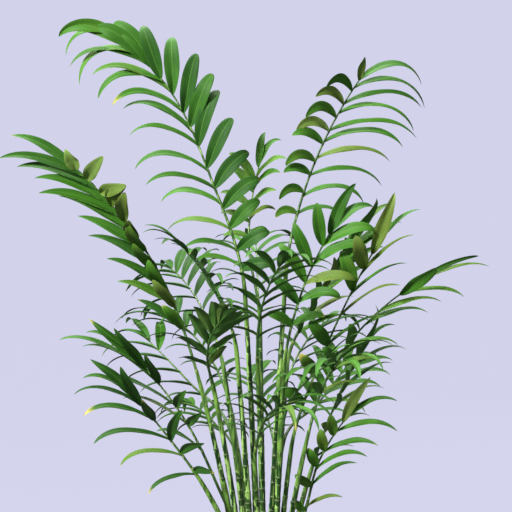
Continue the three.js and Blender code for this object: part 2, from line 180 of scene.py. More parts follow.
class Way:
    """A smooth way through a few points that sets out in a given direction."""

    def __init__(self, points: list[Vector], set_out: Vector) -> None:
        """Works out the heading at each point.

        Args:
            points: The points that the way passes.
            set_out: The heading at the first point.
        """
        self.points = points
        self.spans = [(end - start).length for start, end in pairwise(points)]
        self.length = sum(self.spans)
        chords = [(end - start).normalized() for start, end in pairwise(points)]
        self.headings = [set_out.normalized()]
        for i in range(1, len(chords)):
            blend = chords[i - 1] * self.spans[i] + chords[i] * self.spans[i - 1]
            self.headings.append(blend.normalized())
        self.headings.append((chords[-1] * 2 - self.headings[-1]).normalized())

    def at(self, share: float) -> tuple[Vector, Vector]:
        """The place and heading a share of the way along. Before the start the way is straight.

        Args:
            share: The share of the way, 0 at its start.

        Returns:
            The place, and the heading as a unit vector.
        """
        if share < 0:
            return self.points[0] + self.headings[0] * (share * self.length), self.headings[0].copy()
        left = share * self.length
        i = 0
        while i < len(self.spans) - 1 and left > self.spans[i]:
            left -= self.spans[i]
            i += 1
        span = self.spans[i]
        leave, arrive = self.headings[i] * span, self.headings[i + 1] * span
        place, slope = curve(self.points[i], self.points[i + 1], leave, arrive, left / span)
        return place, slope.normalized()

    def stations(self, rows: np.ndarray) -> tuple[list[Vector], list[Vector]]:
        """The places and the headings at some lengths along the way."""
        found = [self.at(row / self.length) for row in rows]
        return [place for place, _ in found], [heading for _, heading in found]


# Meshes


class Skin:
    """Closed skins over rings of points, gathered into one mesh that carries a few named fields."""

    def __init__(self) -> None:
        """Starts with no skins."""
        self.places: list[np.ndarray] = []
        self.faces: list[list[int]] = []
        self.fields: dict[str, list[np.ndarray]] = {}
        self.count = 0

    def loft(self, rings: np.ndarray, **fields: np.ndarray | float) -> None:
        """Adds one closed skin over rings of points, with a cap on each end.

        Args:
            rings: The places, as rings by points by 3, counter-clockwise about the way they run.
            fields: By name, a number for each point, or one for the whole skin.
        """
        rows, around = rings.shape[:2]
        index = self.count + np.arange(rows * around).reshape(rows, around)
        low, high = index[:-1], index[1:]
        quads = np.stack([low, np.roll(low, -1, 1), np.roll(high, -1, 1), high], axis=-1)
        self.faces += quads.reshape(-1, 4).tolist()
        self.faces += [index[0, ::-1].tolist(), index[-1].tolist()]
        self.places.append(rings.reshape(-1, 3))
        for name, values in fields.items():
            spread = np.broadcast_to(values, (rows, around)).ravel()
            self.fields.setdefault(name, []).append(spread)
        self.count += rows * around

    def tube(self, centres: list[Vector], headings: list[Vector], sides: list[Vector], radii: np.ndarray,
             **fields: np.ndarray | float) -> None:
        """Adds a closed tube round a line of centres.

        Args:
            centres: The places along the line.
            headings: The heading at each place.
            sides: A direction square to each heading, from which the angle round the tube is counted.
            radii: The radius at each place and angle, as places by points round.
            fields: By name, a number for each point, or one for the whole tube.
        """
        centre, heading, first = (np.array(rows, float)[:, None] for rows in (centres, headings, sides))
        second = np.cross(heading, first)
        angle = np.linspace(0, 2 * math.pi, radii.shape[1], endpoint=False)[None, :, None]
        rings = centre + radii[..., None] * (first * np.cos(angle) + second * np.sin(angle))
        self.loft(rings, **fields)

    def make(self, name: str, material: bpy.types.Material, sharp: float) -> bpy.types.Object:
        """Makes the gathered skins into one object.

        Args:
            name: Its name.
            material: Its material.
            sharp: The angle in degrees from which an edge stays crisp.

        Returns:
            The object.
        """
        mesh = bpy.data.meshes.new(name)
        mesh.from_pydata(np.concatenate(self.places).tolist(), [], self.faces)
        for label, values in self.fields.items():
            attribute = mesh.attributes.new(label, "FLOAT", "POINT")
            attribute.data.foreach_set("value", np.concatenate(values).astype(np.float32))
        mesh.shade_smooth()
        mesh.set_sharp_from_angle(angle=math.radians(sharp))
        mesh.materials.append(material)
        made = bpy.data.objects.new(name, mesh)
        bpy.context.scene.collection.objects.link(made)
        log.info("%s: %d faces", name, len(mesh.polygons))
        return made

    def piece(self, name: str, material: bpy.types.Material, slot: str, replaced: tuple[str, ...],
              sharp: float) -> None:
        """Makes the gathered skins into one piece that rides on the part.

        Args:
            name: The name of the piece.
            material: Its material.
            slot: The name of a material slot of the record; not used.
            replaced: The nodes of the part that it stands for.
            sharp: The angle in degrees from which an edge stays crisp.
        """
        made = self.make(name, material, sharp)
        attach(made, "root")
        if replaced:
            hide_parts(*replaced)


# Node trees


class Value:
    """One output socket of a node tree. Arithmetic on it adds Math nodes."""

    def __init__(self, shader: "Shader", socket: bpy.types.NodeSocket) -> None:
        """Wraps a socket of a shader's tree."""
        self.shader = shader
        self.socket = socket

    def maths(self, operation: str, *terms: "Value | float") -> "Value":
        """Adds a Math node.

        Args:
            operation: What the node works out.
            terms: Its terms, in order.

        Returns:
            The result.
        """
        return self.shader.node("ShaderNodeMath", {"operation": operation}, dict(enumerate(terms)))

    def __add__(self, other: "Value | float") -> "Value":
        """Self plus other."""
        return self.maths("ADD", self, other)

    def __radd__(self, other: float) -> "Value":
        """Other plus self."""
        return self.maths("ADD", other, self)

    def __sub__(self, other: "Value | float") -> "Value":
        """Self less other."""
        return self.maths("SUBTRACT", self, other)

    def __rsub__(self, other: float) -> "Value":
        """Other less self."""
        return self.maths("SUBTRACT", other, self)

    def __mul__(self, other: "Value | float") -> "Value":
        """Self times other."""
        return self.maths("MULTIPLY", self, other)

    def __rmul__(self, other: float) -> "Value":
        """Other times self."""
        return self.maths("MULTIPLY", other, self)

    def __abs__(self) -> "Value":
        """The size of self, without its sign."""
        return self.maths("ABSOLUTE", self)

    def between(self, low: float, high: float) -> "Value":
        """Self, from 0 to 1, spread from low to high."""
        return self * (high - low) + low

    def swing(self, width: float) -> "Value":
        """Self, from 0 to 1, spread evenly about 0 over that width."""
        return (self - 0.5) * width

    def wave(self, rate: float) -> "Value":
        """A wave from 0 to 1 that turns through rate radians in a unit of self."""
        return self.maths("SINE", self * rate).between(0.5, 1.0)

    def step(self, low: float, high: float) -> "Value":
        """A soft step from 0 where self is below low to 1 where it is above high.

        Args:
            low: Where the step starts.
            high: Where it ends.

        Returns:
            The step. With high below low it falls instead of rising.
        """
        ends = {"Value": self, "From Min": low, "From Max": high}
        if high < low:
            ends |= {"From Min": high, "From Max": low, "To Min": 1.0, "To Max": 0.0}
        return self.shader.node("ShaderNodeMapRange", {"interpolation_type": "SMOOTHSTEP"}, ends)


Term = Value | float | Colour


class Shader:
    """A material whose node tree is built up from Python expressions."""

    def __init__(self, name: str, shine: float) -> None:
        """Starts a material on one principled surface.

        Args:
            name: The name of the material.
            shine: Its specular level, the same all over the surface.
        """
        self.material = bpy.data.materials.new(name)
        self.material.use_nodes = True
        self.tree = self.material.node_tree
        self.surface = self.tree.nodes["Principled BSDF"]
        self.feed("Specular IOR Level", shine)

    def feed(self, socket: str | bpy.types.NodeSocket, given: Term) -> None:
        """Links a value to a socket, or sets the socket to a number or a colour.

        Args:
            socket: The socket, or the name of one of the surface's own.
            given: What goes into it.
        """
        if isinstance(socket, str):
            socket = self.surface.inputs[socket]
        if isinstance(given, Value):
            self.tree.links.new(given.socket, socket)
        elif isinstance(given, tuple):
            socket.default_value = (*given, 1.0)[:len(socket.default_value)]
        else:
            socket.default_value = given

    def node(self, kind: str, settings: Mapping[str, object] | None = None,
             inputs: Mapping[str | int, Term] | None = None, output: str | int = 0) -> Value:
        """Adds one node.

        Args:
            kind: The node's type.
            settings: Its settings, set before its sockets. A ramp's stops are pairs of place and colour.
            inputs: By socket, a value, a number or a colour.
            output: The socket that is wanted.

        Returns:
            That output.
        """
        made = self.tree.nodes.new(kind)
        for name, setting in (settings or {}).items():
            if name == "stops":
                elements = made.color_ramp.elements
                while len(elements) < len(setting):
                    elements.new(1.0)
                for element, (place, colour) in zip(elements, setting, strict=True):
                    element.position = place
                    element.color = (*colour, 1.0)
            else:
                setattr(made, name, setting)
        for socket, given in (inputs or {}).items():
            self.feed(made.inputs[socket], given)
        return Value(self, made.outputs[output])

    def read(self, *names: str) -> list[Value]:
        """The fields of those names on the mesh."""
        return [self.node("ShaderNodeAttribute", {"attribute_name": name}, output="Fac") for name in names]

    def position(self) -> Value:
        """The place on the object, in metres."""
        return self.node("ShaderNodeTexCoord", output="Object")

    def part(self, axis: str) -> Value:
        """The place on the object along one axis, in metres."""
        return self.node("ShaderNodeSeparateXYZ", inputs={0: self.position()}, output=axis)

    def vector(self, x: Term, y: Term, z: Term) -> Value:
        """Three values as one vector."""
        return self.node("ShaderNodeCombineXYZ", inputs={0: x, 1: y, 2: z})

    def noise(self, vector: Value, scale: float, detail: float) -> Value:
        """Soft noise from 0 to 1.

        Args:
            vector: Where it is read.
            scale: How many lumps there are in a unit.
            detail: How many finer layers lie on them.

        Returns:
            The noise.
        """
        return self.node("ShaderNodeTexNoise", None, {"Vector": vector, "Scale": scale, "Detail": detail})

    def grain(self, lumps: Point, detail: float, vector: Value | None = None) -> Value:
        """Noise whose lumps are stretched.

        Args:
            lumps: How many lumps there are in a unit along each axis.
            detail: How many finer layers lie on them.
            vector: Where it is read, or nothing for the place on the object.

        Returns:
            The noise.
        """
        places = {0: vector or self.position(), 1: lumps}
        return self.noise(self.node("ShaderNodeVectorMath", {"operation": "MULTIPLY"}, places), 1.0, detail)

    def ramp(self, value: Value, stops: tuple[tuple[float, Colour], ...]) -> Value:
        """The colour that a row of stops gives for a value."""
        return self.node("ShaderNodeValToRGB", {"stops": stops}, {0: value})

    def blend(self, share: Term, start: Term, end: Term) -> Value:
        """Two colours mixed.

        Args:
            share: How much of the second colour shows.
            start: The first colour.
            end: The second colour.

        Returns:
            The mixed colour.
        """
        return self.node("ShaderNodeMix", {"data_type": "RGBA"}, {0: share, 6: start, 7: end}, output=2)

    def finish(self, colour: Value, roughness: Value, height: Value, depth: float) -> bpy.types.Material:
        """Feeds the surface.

        Args:
            colour: The base colour.
            roughness: The roughness.
            height: The relief, from 0 to 1.
            depth: How deep the relief is, in metres.

        Returns:
            The finished material.
        """
        relief = self.node("ShaderNodeBump", None, {"Strength": 1.0, "Distance": depth, "Height": height})
        self.feed("Base Color", colour)
        self.feed("Roughness", roughness)
        self.feed("Normal", relief)
        return self.material


# Finishes


@dataclass(frozen=True)
class LeafFinish:
    """The leaf blades: streaked greens, paler ribs, a duller underside and drying tips."""

    deep: Colour = (0.012, 0.064, 0.005)
    bright: Colour = (0.038, 0.148, 0.008)
    olive: Colour = (0.093, 0.140, 0.017)
    yellowing: Colour = (0.150, 0.245, 0.050)
    green_places: tuple[float, ...] = (0.08, 0.42, 0.7, 0.96)
    underside: Colour = (0.055, 0.13, 0.030)
    under_share: float = 0.5
    rib: Colour = (0.09, 0.225, 0.032)
    tip: Colour = (0.40, 0.36, 0.085)
    tip_edge: Pair = (1.0, 1.14)
    tip_share: float = 0.85
    scorch: Colour = (0.24, 0.11, 0.045)
    scorch_edge: Pair = (1.12, 1.24)
    scorch_share: float = 0.9
    streak_lumps: Lumps = ((11.0, 1.3, 57.0), 4.0)
    streak_swing: float = 0.26
    patch_lumps: Lumps = ((1.2, 3.0, 83.0), 2.0)
    patch_swing: float = 0.34
    vein_rate: float = 75.4
    vein_edge: Pair = (0.82, 1.0)
    vein_share: float = 0.16
    midrib_edge: Pair = (0.09, 0.0)
    midrib_share: float = 0.6
    ragged: float = 0.16
    edge_dries: float = 0.05
    dry_reach: float = 0.17
    least_rough: float = 0.54
    rougher: float = 0.14
    relief: Point = (0.35, 0.5, 0.4)
    depth: float = 0.0002
    shine: float = 0.24

    def material(self) -> bpy.types.Material:
        """Makes the material.

        Returns:
            The material.
        """
        shader = Shader("leaf_blade", self.shine)
        along, across, hue, under, dry, wide = shader.read("along", "across", "hue", "under", "dry", "wide")
        blade = shader.vector(across, along, hue)
        streaks = shader.grain(*self.streak_lumps, blade)
        patches = shader.grain(*self.patch_lumps, blade)
        veins = across.wave(self.vein_rate)
        midrib = abs(across).step(*self.midrib_edge)
        greens = (self.deep, self.bright, self.olive, self.yellowing)
        place = hue + patches.swing(self.patch_swing) + streaks.swing(self.streak_swing)
        green = shader.ramp(place, tuple(zip(self.green_places, greens, strict=True)))
        ribs = midrib * self.midrib_share + veins.step(*self.vein_edge) * self.vein_share
        colour = shader.blend(ribs, green, self.rib)
        colour = shader.blend(under * self.under_share, colour, self.underside)
        reach = along + streaks.swing(self.ragged) + abs(across) * self.edge_dries + dry * self.dry_reach
        colour = shader.blend(reach.step(*self.tip_edge) * self.tip_share, colour, self.tip)
        colour = shader.blend(reach.step(*self.scorch_edge) * self.scorch_share, colour, self.scorch)
        roughness = streaks * self.rougher + under * self.rougher + self.least_rough
        vein_relief, streak_relief, midrib_relief = self.relief
        height = veins * vein_relief + streaks * streak_relief - midrib * midrib_relief
        return shader.finish(colour, roughness, height * wide, self.depth)


@dataclass(frozen=True)
class RachisFinish:
    """The leaf stalks: a pale channelled face, dark green flanks and a dark mark at each leaflet."""

    flank: Colour = (0.02, 0.065, 0.012)
    middle: Colour = (0.06, 0.15, 0.028)
    middle_edge: Pair = (0.35, 0.7)
    face: Colour = (0.28, 0.43, 0.12)
    face_edge: Pair = (0.85, 1.3)
    face_swing: float = 1.6
    young_edge: Pair = (0.75, 1.0)
    young_share: float = 0.45
    mark: Colour = (0.03, 0.075, 0.015)
    mark_share: float = 0.75
    mottle_lumps: Lumps = ((300.0, 300.0, 40.0), 3.0)
    fibre_lumps: Lumps = ((900.0, 900.0, 60.0), 2.0)
    roughness: Pair = (0.3, 0.5)
    depth: float = 0.0003
    shine: float = 0.35

    def material(self) -> bpy.types.Material:
        """Makes the material.

        Returns:
            The material.
        """
        shader = Shader("leaf_stalk", self.shine)
        upper, along, joint = shader.read("upper", "along", "joint")
        mottle = shader.grain(*self.mottle_lumps)
        fibres = shader.grain(*self.fibre_lumps)
        face = (upper + mottle.swing(self.face_swing)).step(*self.face_edge)
        colour = shader.blend(mottle.step(*self.middle_edge), self.flank, self.middle)
        colour = shader.blend(face, colour, self.face)
        colour = shader.blend(along.step(*self.young_edge) * self.young_share, colour, self.middle)
        colour = shader.blend(joint * self.mark_share, colour, self.mark)
        return shader.finish(colour, mottle.between(*self.roughness), fibres, self.depth)


@dataclass(frozen=True)
class SheathFinish:
    """The sheaths: pale ribbed green that turns papery straw at the mouth."""

    old: Colour = (0.018, 0.062, 0.008)
    young: Colour = (0.14, 0.29, 0.045)
    young_edge: Pair = (0.4, 0.72)
    straw: Colour = (0.40, 0.42, 0.17)
    straw_edge: Pair = (0.88, 1.1)
    straw_swing: float = 0.3
    mottle_lumps: Lumps = ((160.0, 160.0, 22.0), 3.0)
    broad_lumps: Lumps = ((110.0, 110.0, 30.0), 0.0)
    broad_swing: float = 0.7
    rib_rate: float = 176.0
    rib_light: float = 0.18
    roughness: Pair = (0.36, 0.56)
    relief: Pair = (0.6, 0.4)
    depth: float = 0.0004
    shine: float = 0.3

    def material(self) -> bpy.types.Material:
        """Makes the material.

        Returns:
            The material.
        """
        shader = Shader("leaf_sheath", self.shine)
        turn, mouth = shader.read("turn", "mouth")
        ribs = turn.wave(self.rib_rate)
        mottle = shader.grain(*self.mottle_lumps)
        broad = shader.grain(*self.broad_lumps)
        light = mottle + ribs * self.rib_light + broad.swing(self.broad_swing)
        papery = (mouth + mottle.swing(self.straw_swing)).step(*self.straw_edge)
        colour = shader.blend(light.step(*self.young_edge), self.old, self.young)
        colour = shader.blend(papery, colour, self.straw)
        height = ribs * self.relief[0] + mottle * self.relief[1]
        return shader.finish(colour, mottle.between(*self.roughness), height, self.depth)


@dataclass(frozen=True)
class CaneFinish:
    """The canes: glossy greens that change from joint to joint, pale lengthwise stripes painted in as
    highlights, dark blotches and pale ringed scars.
    """

    dark: Colour = (0.006, 0.030, 0.005)
    middle: Colour = (0.038, 0.115, 0.018)
    pale: Colour = (0.235, 0.40, 0.10)
    green_places: Point = (0.36, 0.48, 0.68)
    least_light: float = 0.008
    joint_light: float = 0.2
    cloud_lumps: Lumps = ((90.0, 90.0, 26.0), 3.0)
    cloud_light: float = 0.34
    # Pale lengthwise stripes are painted highlights, like the lit side of a glossy cane, not a colour of
    # the cane itself.
    highlight_stripe_lumps: Lumps = ((150.0, 150.0, 6.0), 1.0)
    highlight_stripe_edge: Pair = (0.47, 0.53)
    highlight_stripe_light: float = 0.36
    fibre_lumps: Lumps = ((700.0, 700.0, 34.0), 2.0)
    fibre_swing: float = 0.22
    blotch_lumps: Lumps = ((130.0, 130.0, 48.0), 0.0)
    blotch_edge: Pair = (0.55, 0.57)
    blotch_share: float = 0.92
    speck_lumps: Lumps = ((900.0, 900.0, 500.0), 1.0)
    speck_edge: Pair = (0.66, 0.72)
    speck_share: float = 0.35
    scar: Colour = (0.19, 0.25, 0.095)
    scar_share: float = 0.45
    scar_rougher: float = 0.25
    roughness: Pair = (0.22, 0.38)
    relief: Pair = (0.6, 0.2)
    depth: float = 0.0003
    shine: float = 0.32

    def material(self) -> bpy.types.Material:
        """Makes the material.

        Returns:
            The material.
        """
        shader = Shader("cane_skin", self.shine)
        ring, tone = shader.read("ring", "tone")
        clouds = shader.grain(*self.cloud_lumps)
        fibres = shader.grain(*self.fibre_lumps)
        specks = shader.grain(*self.speck_lumps)
        # Painted highlights: stretched noise gives pale lengthwise stripes that lighten the cane's green.
        painted_highlight_stripes = shader.grain(*self.highlight_stripe_lumps).step(*self.highlight_stripe_edge)
        blotches = shader.grain(*self.blotch_lumps).step(*self.blotch_edge)
        light = clouds * self.cloud_light + tone * self.joint_light + painted_highlight_stripes * self.highlight_stripe_light
        light = light + fibres.swing(self.fibre_swing) + self.least_light
        greens = (self.dark, self.middle, self.pale)
        colour = shader.ramp(light, tuple(zip(self.green_places, greens, strict=True)))
        colour = shader.blend(blotches * self.blotch_share, colour, self.dark)
        colour = shader.blend(specks.step(*self.speck_edge) * self.speck_share, colour, self.pale)
        colour = shader.blend(ring * self.scar_share, colour, self.scar)
        roughness = clouds.between(*self.roughness) + ring * self.scar_rougher
        height = fibres * self.relief[0] + specks * self.relief[1]
        return shader.finish(colour, roughness, height, self.depth)


@dataclass(frozen=True)
class ClayFinish:
    """The pot: plain fired clay with wheel lines, fine grit and a little lime bloom."""

    body: Colour = (0.46, 0.175, 0.085)
    warm: Colour = (0.55, 0.235, 0.125)
    cloud_lumps: Pair = (9.0, 4.0)
    cloud_edge: Pair = (0.3, 0.7)
    wheel_lumps: Lumps = ((4.0, 4.0, 420.0), 2.0)
    wheel_start: float = 0.2
    wheel_share: float = 0.25
    bloom: Colour = (0.62, 0.46, 0.36)
    lime_lumps: Pair = (21.0, 5.0)
    lime_edge: Pair = (0.58, 0.74)
    lime_share: float = 0.35
    grit_lumps: Pair = (520.0, 2.0)
    grit_edge: Pair = (0.64, 0.7)
    grit_share: float = 0.3
    damp: Colour = (0.22, 0.085, 0.045)
    damp_share: float = 0.6
    roughness: Pair = (0.72, 0.87)
    relief: Pair = (0.6, 0.4)
    depth: float = 0.0007
    shine: float = 0.25

    def material(self) -> bpy.types.Material:
        """Makes the material.

        Returns:
            The material.
        """
        shader = Shader("fired_clay", self.shine)
        place = shader.position()
        inner = shader.read("inner")[0]
        clouds = shader.noise(place, *self.cloud_lumps)
        grit = shader.noise(place, *self.grit_lumps)
        lime = shader.noise(place, *self.lime_lumps).step(*self.lime_edge)
        wheel = shader.grain(*self.wheel_lumps)
        colour = shader.blend(clouds.step(*self.cloud_edge), self.body, self.warm)
        colour = shader.blend((wheel - self.wheel_start) * self.wheel_share, colour, self.body)
        colour = shader.blend(lime * self.lime_share, colour, self.bloom)
        colour = shader.blend(grit.step(*self.grit_edge) * self.grit_share, colour, self.bloom)
        colour = shader.blend(inner * self.damp_share, colour, self.damp)
        height = wheel * self.relief[0] + grit * self.relief[1]
        return shader.finish(colour, clouds.between(*self.roughness), height, self.depth)


@dataclass(frozen=True)
class EarthFinish:
    """Potting mix, bark or perlite: two colours in grains of one size."""

    name: str
    dark: Colour
    light: Colour
    lumps: float
    depth: float
    layers: float = 6.0
    cloud_lumps: float = 0.12
    cloud_layers: float = 3.0
    lights: Pair = (0.7, 0.3)
    light_edge: Pair = (0.4, 0.66)
    roughness: Pair = (0.84, 0.94)
    shine: float = 0.2

    def material(self) -> bpy.types.Material:
        """Makes the material.

        Returns:
            The material.
        """
        shader = Shader(self.name, self.shine)
        place = shader.position()
        grains = shader.noise(place, self.lumps, self.layers)
        clouds = shader.noise(place, self.lumps * self.cloud_lumps, self.cloud_layers)
        light = grains * self.lights[0] + clouds * self.lights[1]
        colour = shader.blend(light.step(*self.light_edge), self.dark, self.light)
        return shader.finish(colour, clouds.between(*self.roughness), grains, self.depth)


@dataclass(frozen=True)
class BackdropFinish:
    """The plain pale paper behind and below the plant."""

    near: Colour = (0.085, 0.083, 0.10)
    far: Colour = (0.010, 0.010, 0.012)
    near_glow: Colour = (0.46, 0.455, 0.60)
    far_glow: Colour = (0.645, 0.638, 0.825)
    fade: Pair = (0.15, 1.9)
    mottle_lumps: Pair = (0.7, 2.0)
    roughness: Pair = (0.9, 0.92)
    depth: float = 0.0001

    def material(self) -> bpy.types.Material:
        """Makes the material.

        Returns:
            The material.
        """
        shader = Shader("pale_paper", 0.0)
        shader.feed("Emission Strength", 1.0)
        mottle = shader.noise(shader.position(), *self.mottle_lumps)
        across, deep = shader.part("X"), shader.part("Y")
        away = (across * across + deep * deep).step(*self.fade)
        shader.feed("Emission Color", shader.blend(away, self.near_glow, self.far_glow))
        colour = shader.blend(away, self.near, self.far)
        return shader.finish(colour, mottle.between(*self.roughness), mottle, self.depth)


# The canes


@dataclass(frozen=True)
class Cane:
    """One cane: where it leaves the soil, and where its tip stands."""

    name: str
    foot: Pair
    top: Point
    foot_radius: float = 0.0072
    top_radius: float = 0.0042
    slimmer: float = 0.95
    flare: float = 1.3
    flare_rise: float = 0.02
    upright_start: float = 0.25
    soil_top: float = 0.219
    sunk: float = 0.008
    sides: int = 18
    out_of_round: float = 0.03
    joints: Pair = (0.017, 0.043)
    low_joints: float = 0.6
    bare_top: float = 0.012
    ridge: float = 0.0006
    ring: Bump = Bump(0, 0.0010)
    swelling: Bump = Bump(-0.0030, 0.0035, 0.5)
    groove: Bump = Bump(0.0020, 0.0012, -0.35)
    rows_at_scar: tuple[float, ...] = (-0.0045, -0.0018, -0.0007, 0.0, 0.0008, 0.0022)
    longest_step: float = 0.011
    shortest_step: float = 0.0003

    def way(self) -> Way:
        """The line that the cane follows.

        Returns:
            The way from the soil to the tip.
        """
        foot = Vector((*self.foot, self.soil_top + GAP))
        top = Vector(self.top)
        lean = (top - foot).normalized()
        return Way([foot, top], lean.lerp(UP, self.upright_start))

    def radius(self, share: float, height: float) -> float:
        """The radius of the cane's solid.

        Args:
            share: How far up the cane, from 0 to 1.
            height: The length of the whole cane.

        Returns:
            The radius there.
        """
        flare = 1 + (self.flare - 1) * math.exp(-share * height / self.flare_rise)
        return mix(self.foot_radius, self.top_radius, share) * flare

    def scars(self, number: int, height: float) -> list[float]:
        """The heights at which fallen leaves have left their rings.

        Args:
            number: The cane's place in the clump, for its draws.
            height: The length of the whole cane.

        Returns:
            The heights along the cane.
        """
        marks = []
        reached = mix(*self.joints, draw_share(number, 0, Use.JOINT))
        while reached < height - self.bare_top:
            marks.append(reached)
            wider = self.low_joints + (1 - self.low_joints) * reached / height
            reached += wider * mix(*self.joints, draw_share(number, len(marks), Use.JOINT))
        return marks

    def grow(self, skin: Skin, number: int) -> None:
        """Adds the cane's skin.

        Args:
            skin: Where the skin goes.
            number: The cane's place in the clump.
        """
        way = self.way()
        scars = np.array(self.scars(number, way.length))
        near = (scars[:, None] + np.array(self.rows_at_scar)).ravel()
        between = np.arange(-self.sunk, way.length, self.longest_step)
        rows = np.clip(np.concatenate([near, between, [way.length]]), -self.sunk, way.length)
        rows = spaced(rows, self.shortest_step)
        off = rows[:, None] - scars
        ring = self.ring.at(off).max(1)
        swelling = self.swelling.height * self.swelling.at(off).max(1)
        groove = self.groove.height * self.groove.at(off).max(1)
        relief = self.ridge * (ring + swelling + groove)
        tone = [draw_share(number, int(joint), Use.JOINT_TONE) for joint in np.searchsorted(scars, rows)]
        places, headings = way.stations(rows)
        firsts = [square_to(RIGHT, heading) for heading in headings]
        shares = [max(0.0, row / way.length) for row in rows]
        radii = np.array([self.radius(share, way.length) * self.slimmer for share in shares])
        angle = np.linspace(0, 2 * math.pi, self.sides, endpoint=False)
        oval = 1 + self.out_of_round * np.cos(2 * angle + number)
        around = radii[:, None] * oval + relief[:, None]
        skin.tube(places, headings, firsts, around, ring=ring[:, None], tone=np.array(tone)[:, None])


# The fronds


class Tone(Enum):
    """The green of a leaflet, as its place on the row of leaf colours."""

    DEEP = 0.16
    FRESH = 0.32
    BRIGHT = 0.46
    PALE = 0.95


@dataclass(frozen=True)
class Side:
    """How the left rank of a frond's leaflets differs from its right rank."""

    splay: Pair | None = None
    lift: float | None = None
    lift_gain: float | None = None
    length: float | None = None
    tip_length: float | None = None
    width: float | None = None
    droop: float | None = None
    tip_droop: float | None = None
    level: float | None = None
    curl: float | None = None
    tone: Tone | None = None
    tip_tone: Tone | None = None

    def changes(self) -> dict[str, object]:
        """The sizes that this side sets, by name."""
        return {name: value for name, value in vars(self).items() if value is not None}


@dataclass(frozen=True)
class Frond:
    """One frond: its cane, the points that its stalk passes, and how its leaflets grow."""

    name: str
    cane: str
    middle: Point
    tip: Point
    bend: Point | None = None
    start: float = 1
    pairs: int = 9
    length: float = 0.15
    tip_length: float | None = None
    width: float = 0.025
    first: float = 0.34
    splay: Pair = (62, 34)
    lift: float = 28
    lift_gain: float = 0
    roll: float = 0
    droop: float = 0.7
    tip_droop: float = 0.5
    level: float = 0.5
    curl: float = 0.35
    tip_width: float | None = None
    tone: Tone = Tone.FRESH
    tip_tone: Tone | None = None
    other: Side = field(default_factory=Side)


@dataclass(frozen=True)
class Leaflet:
    """One leaflet's run: its chain of places, and how large and how green it is."""

    places: np.ndarray
    faces: np.ndarray
    share: float
    side: int
    number: int
    length: float
    width: float
    root: float
    blunt: float
    hue: float
    dry: float


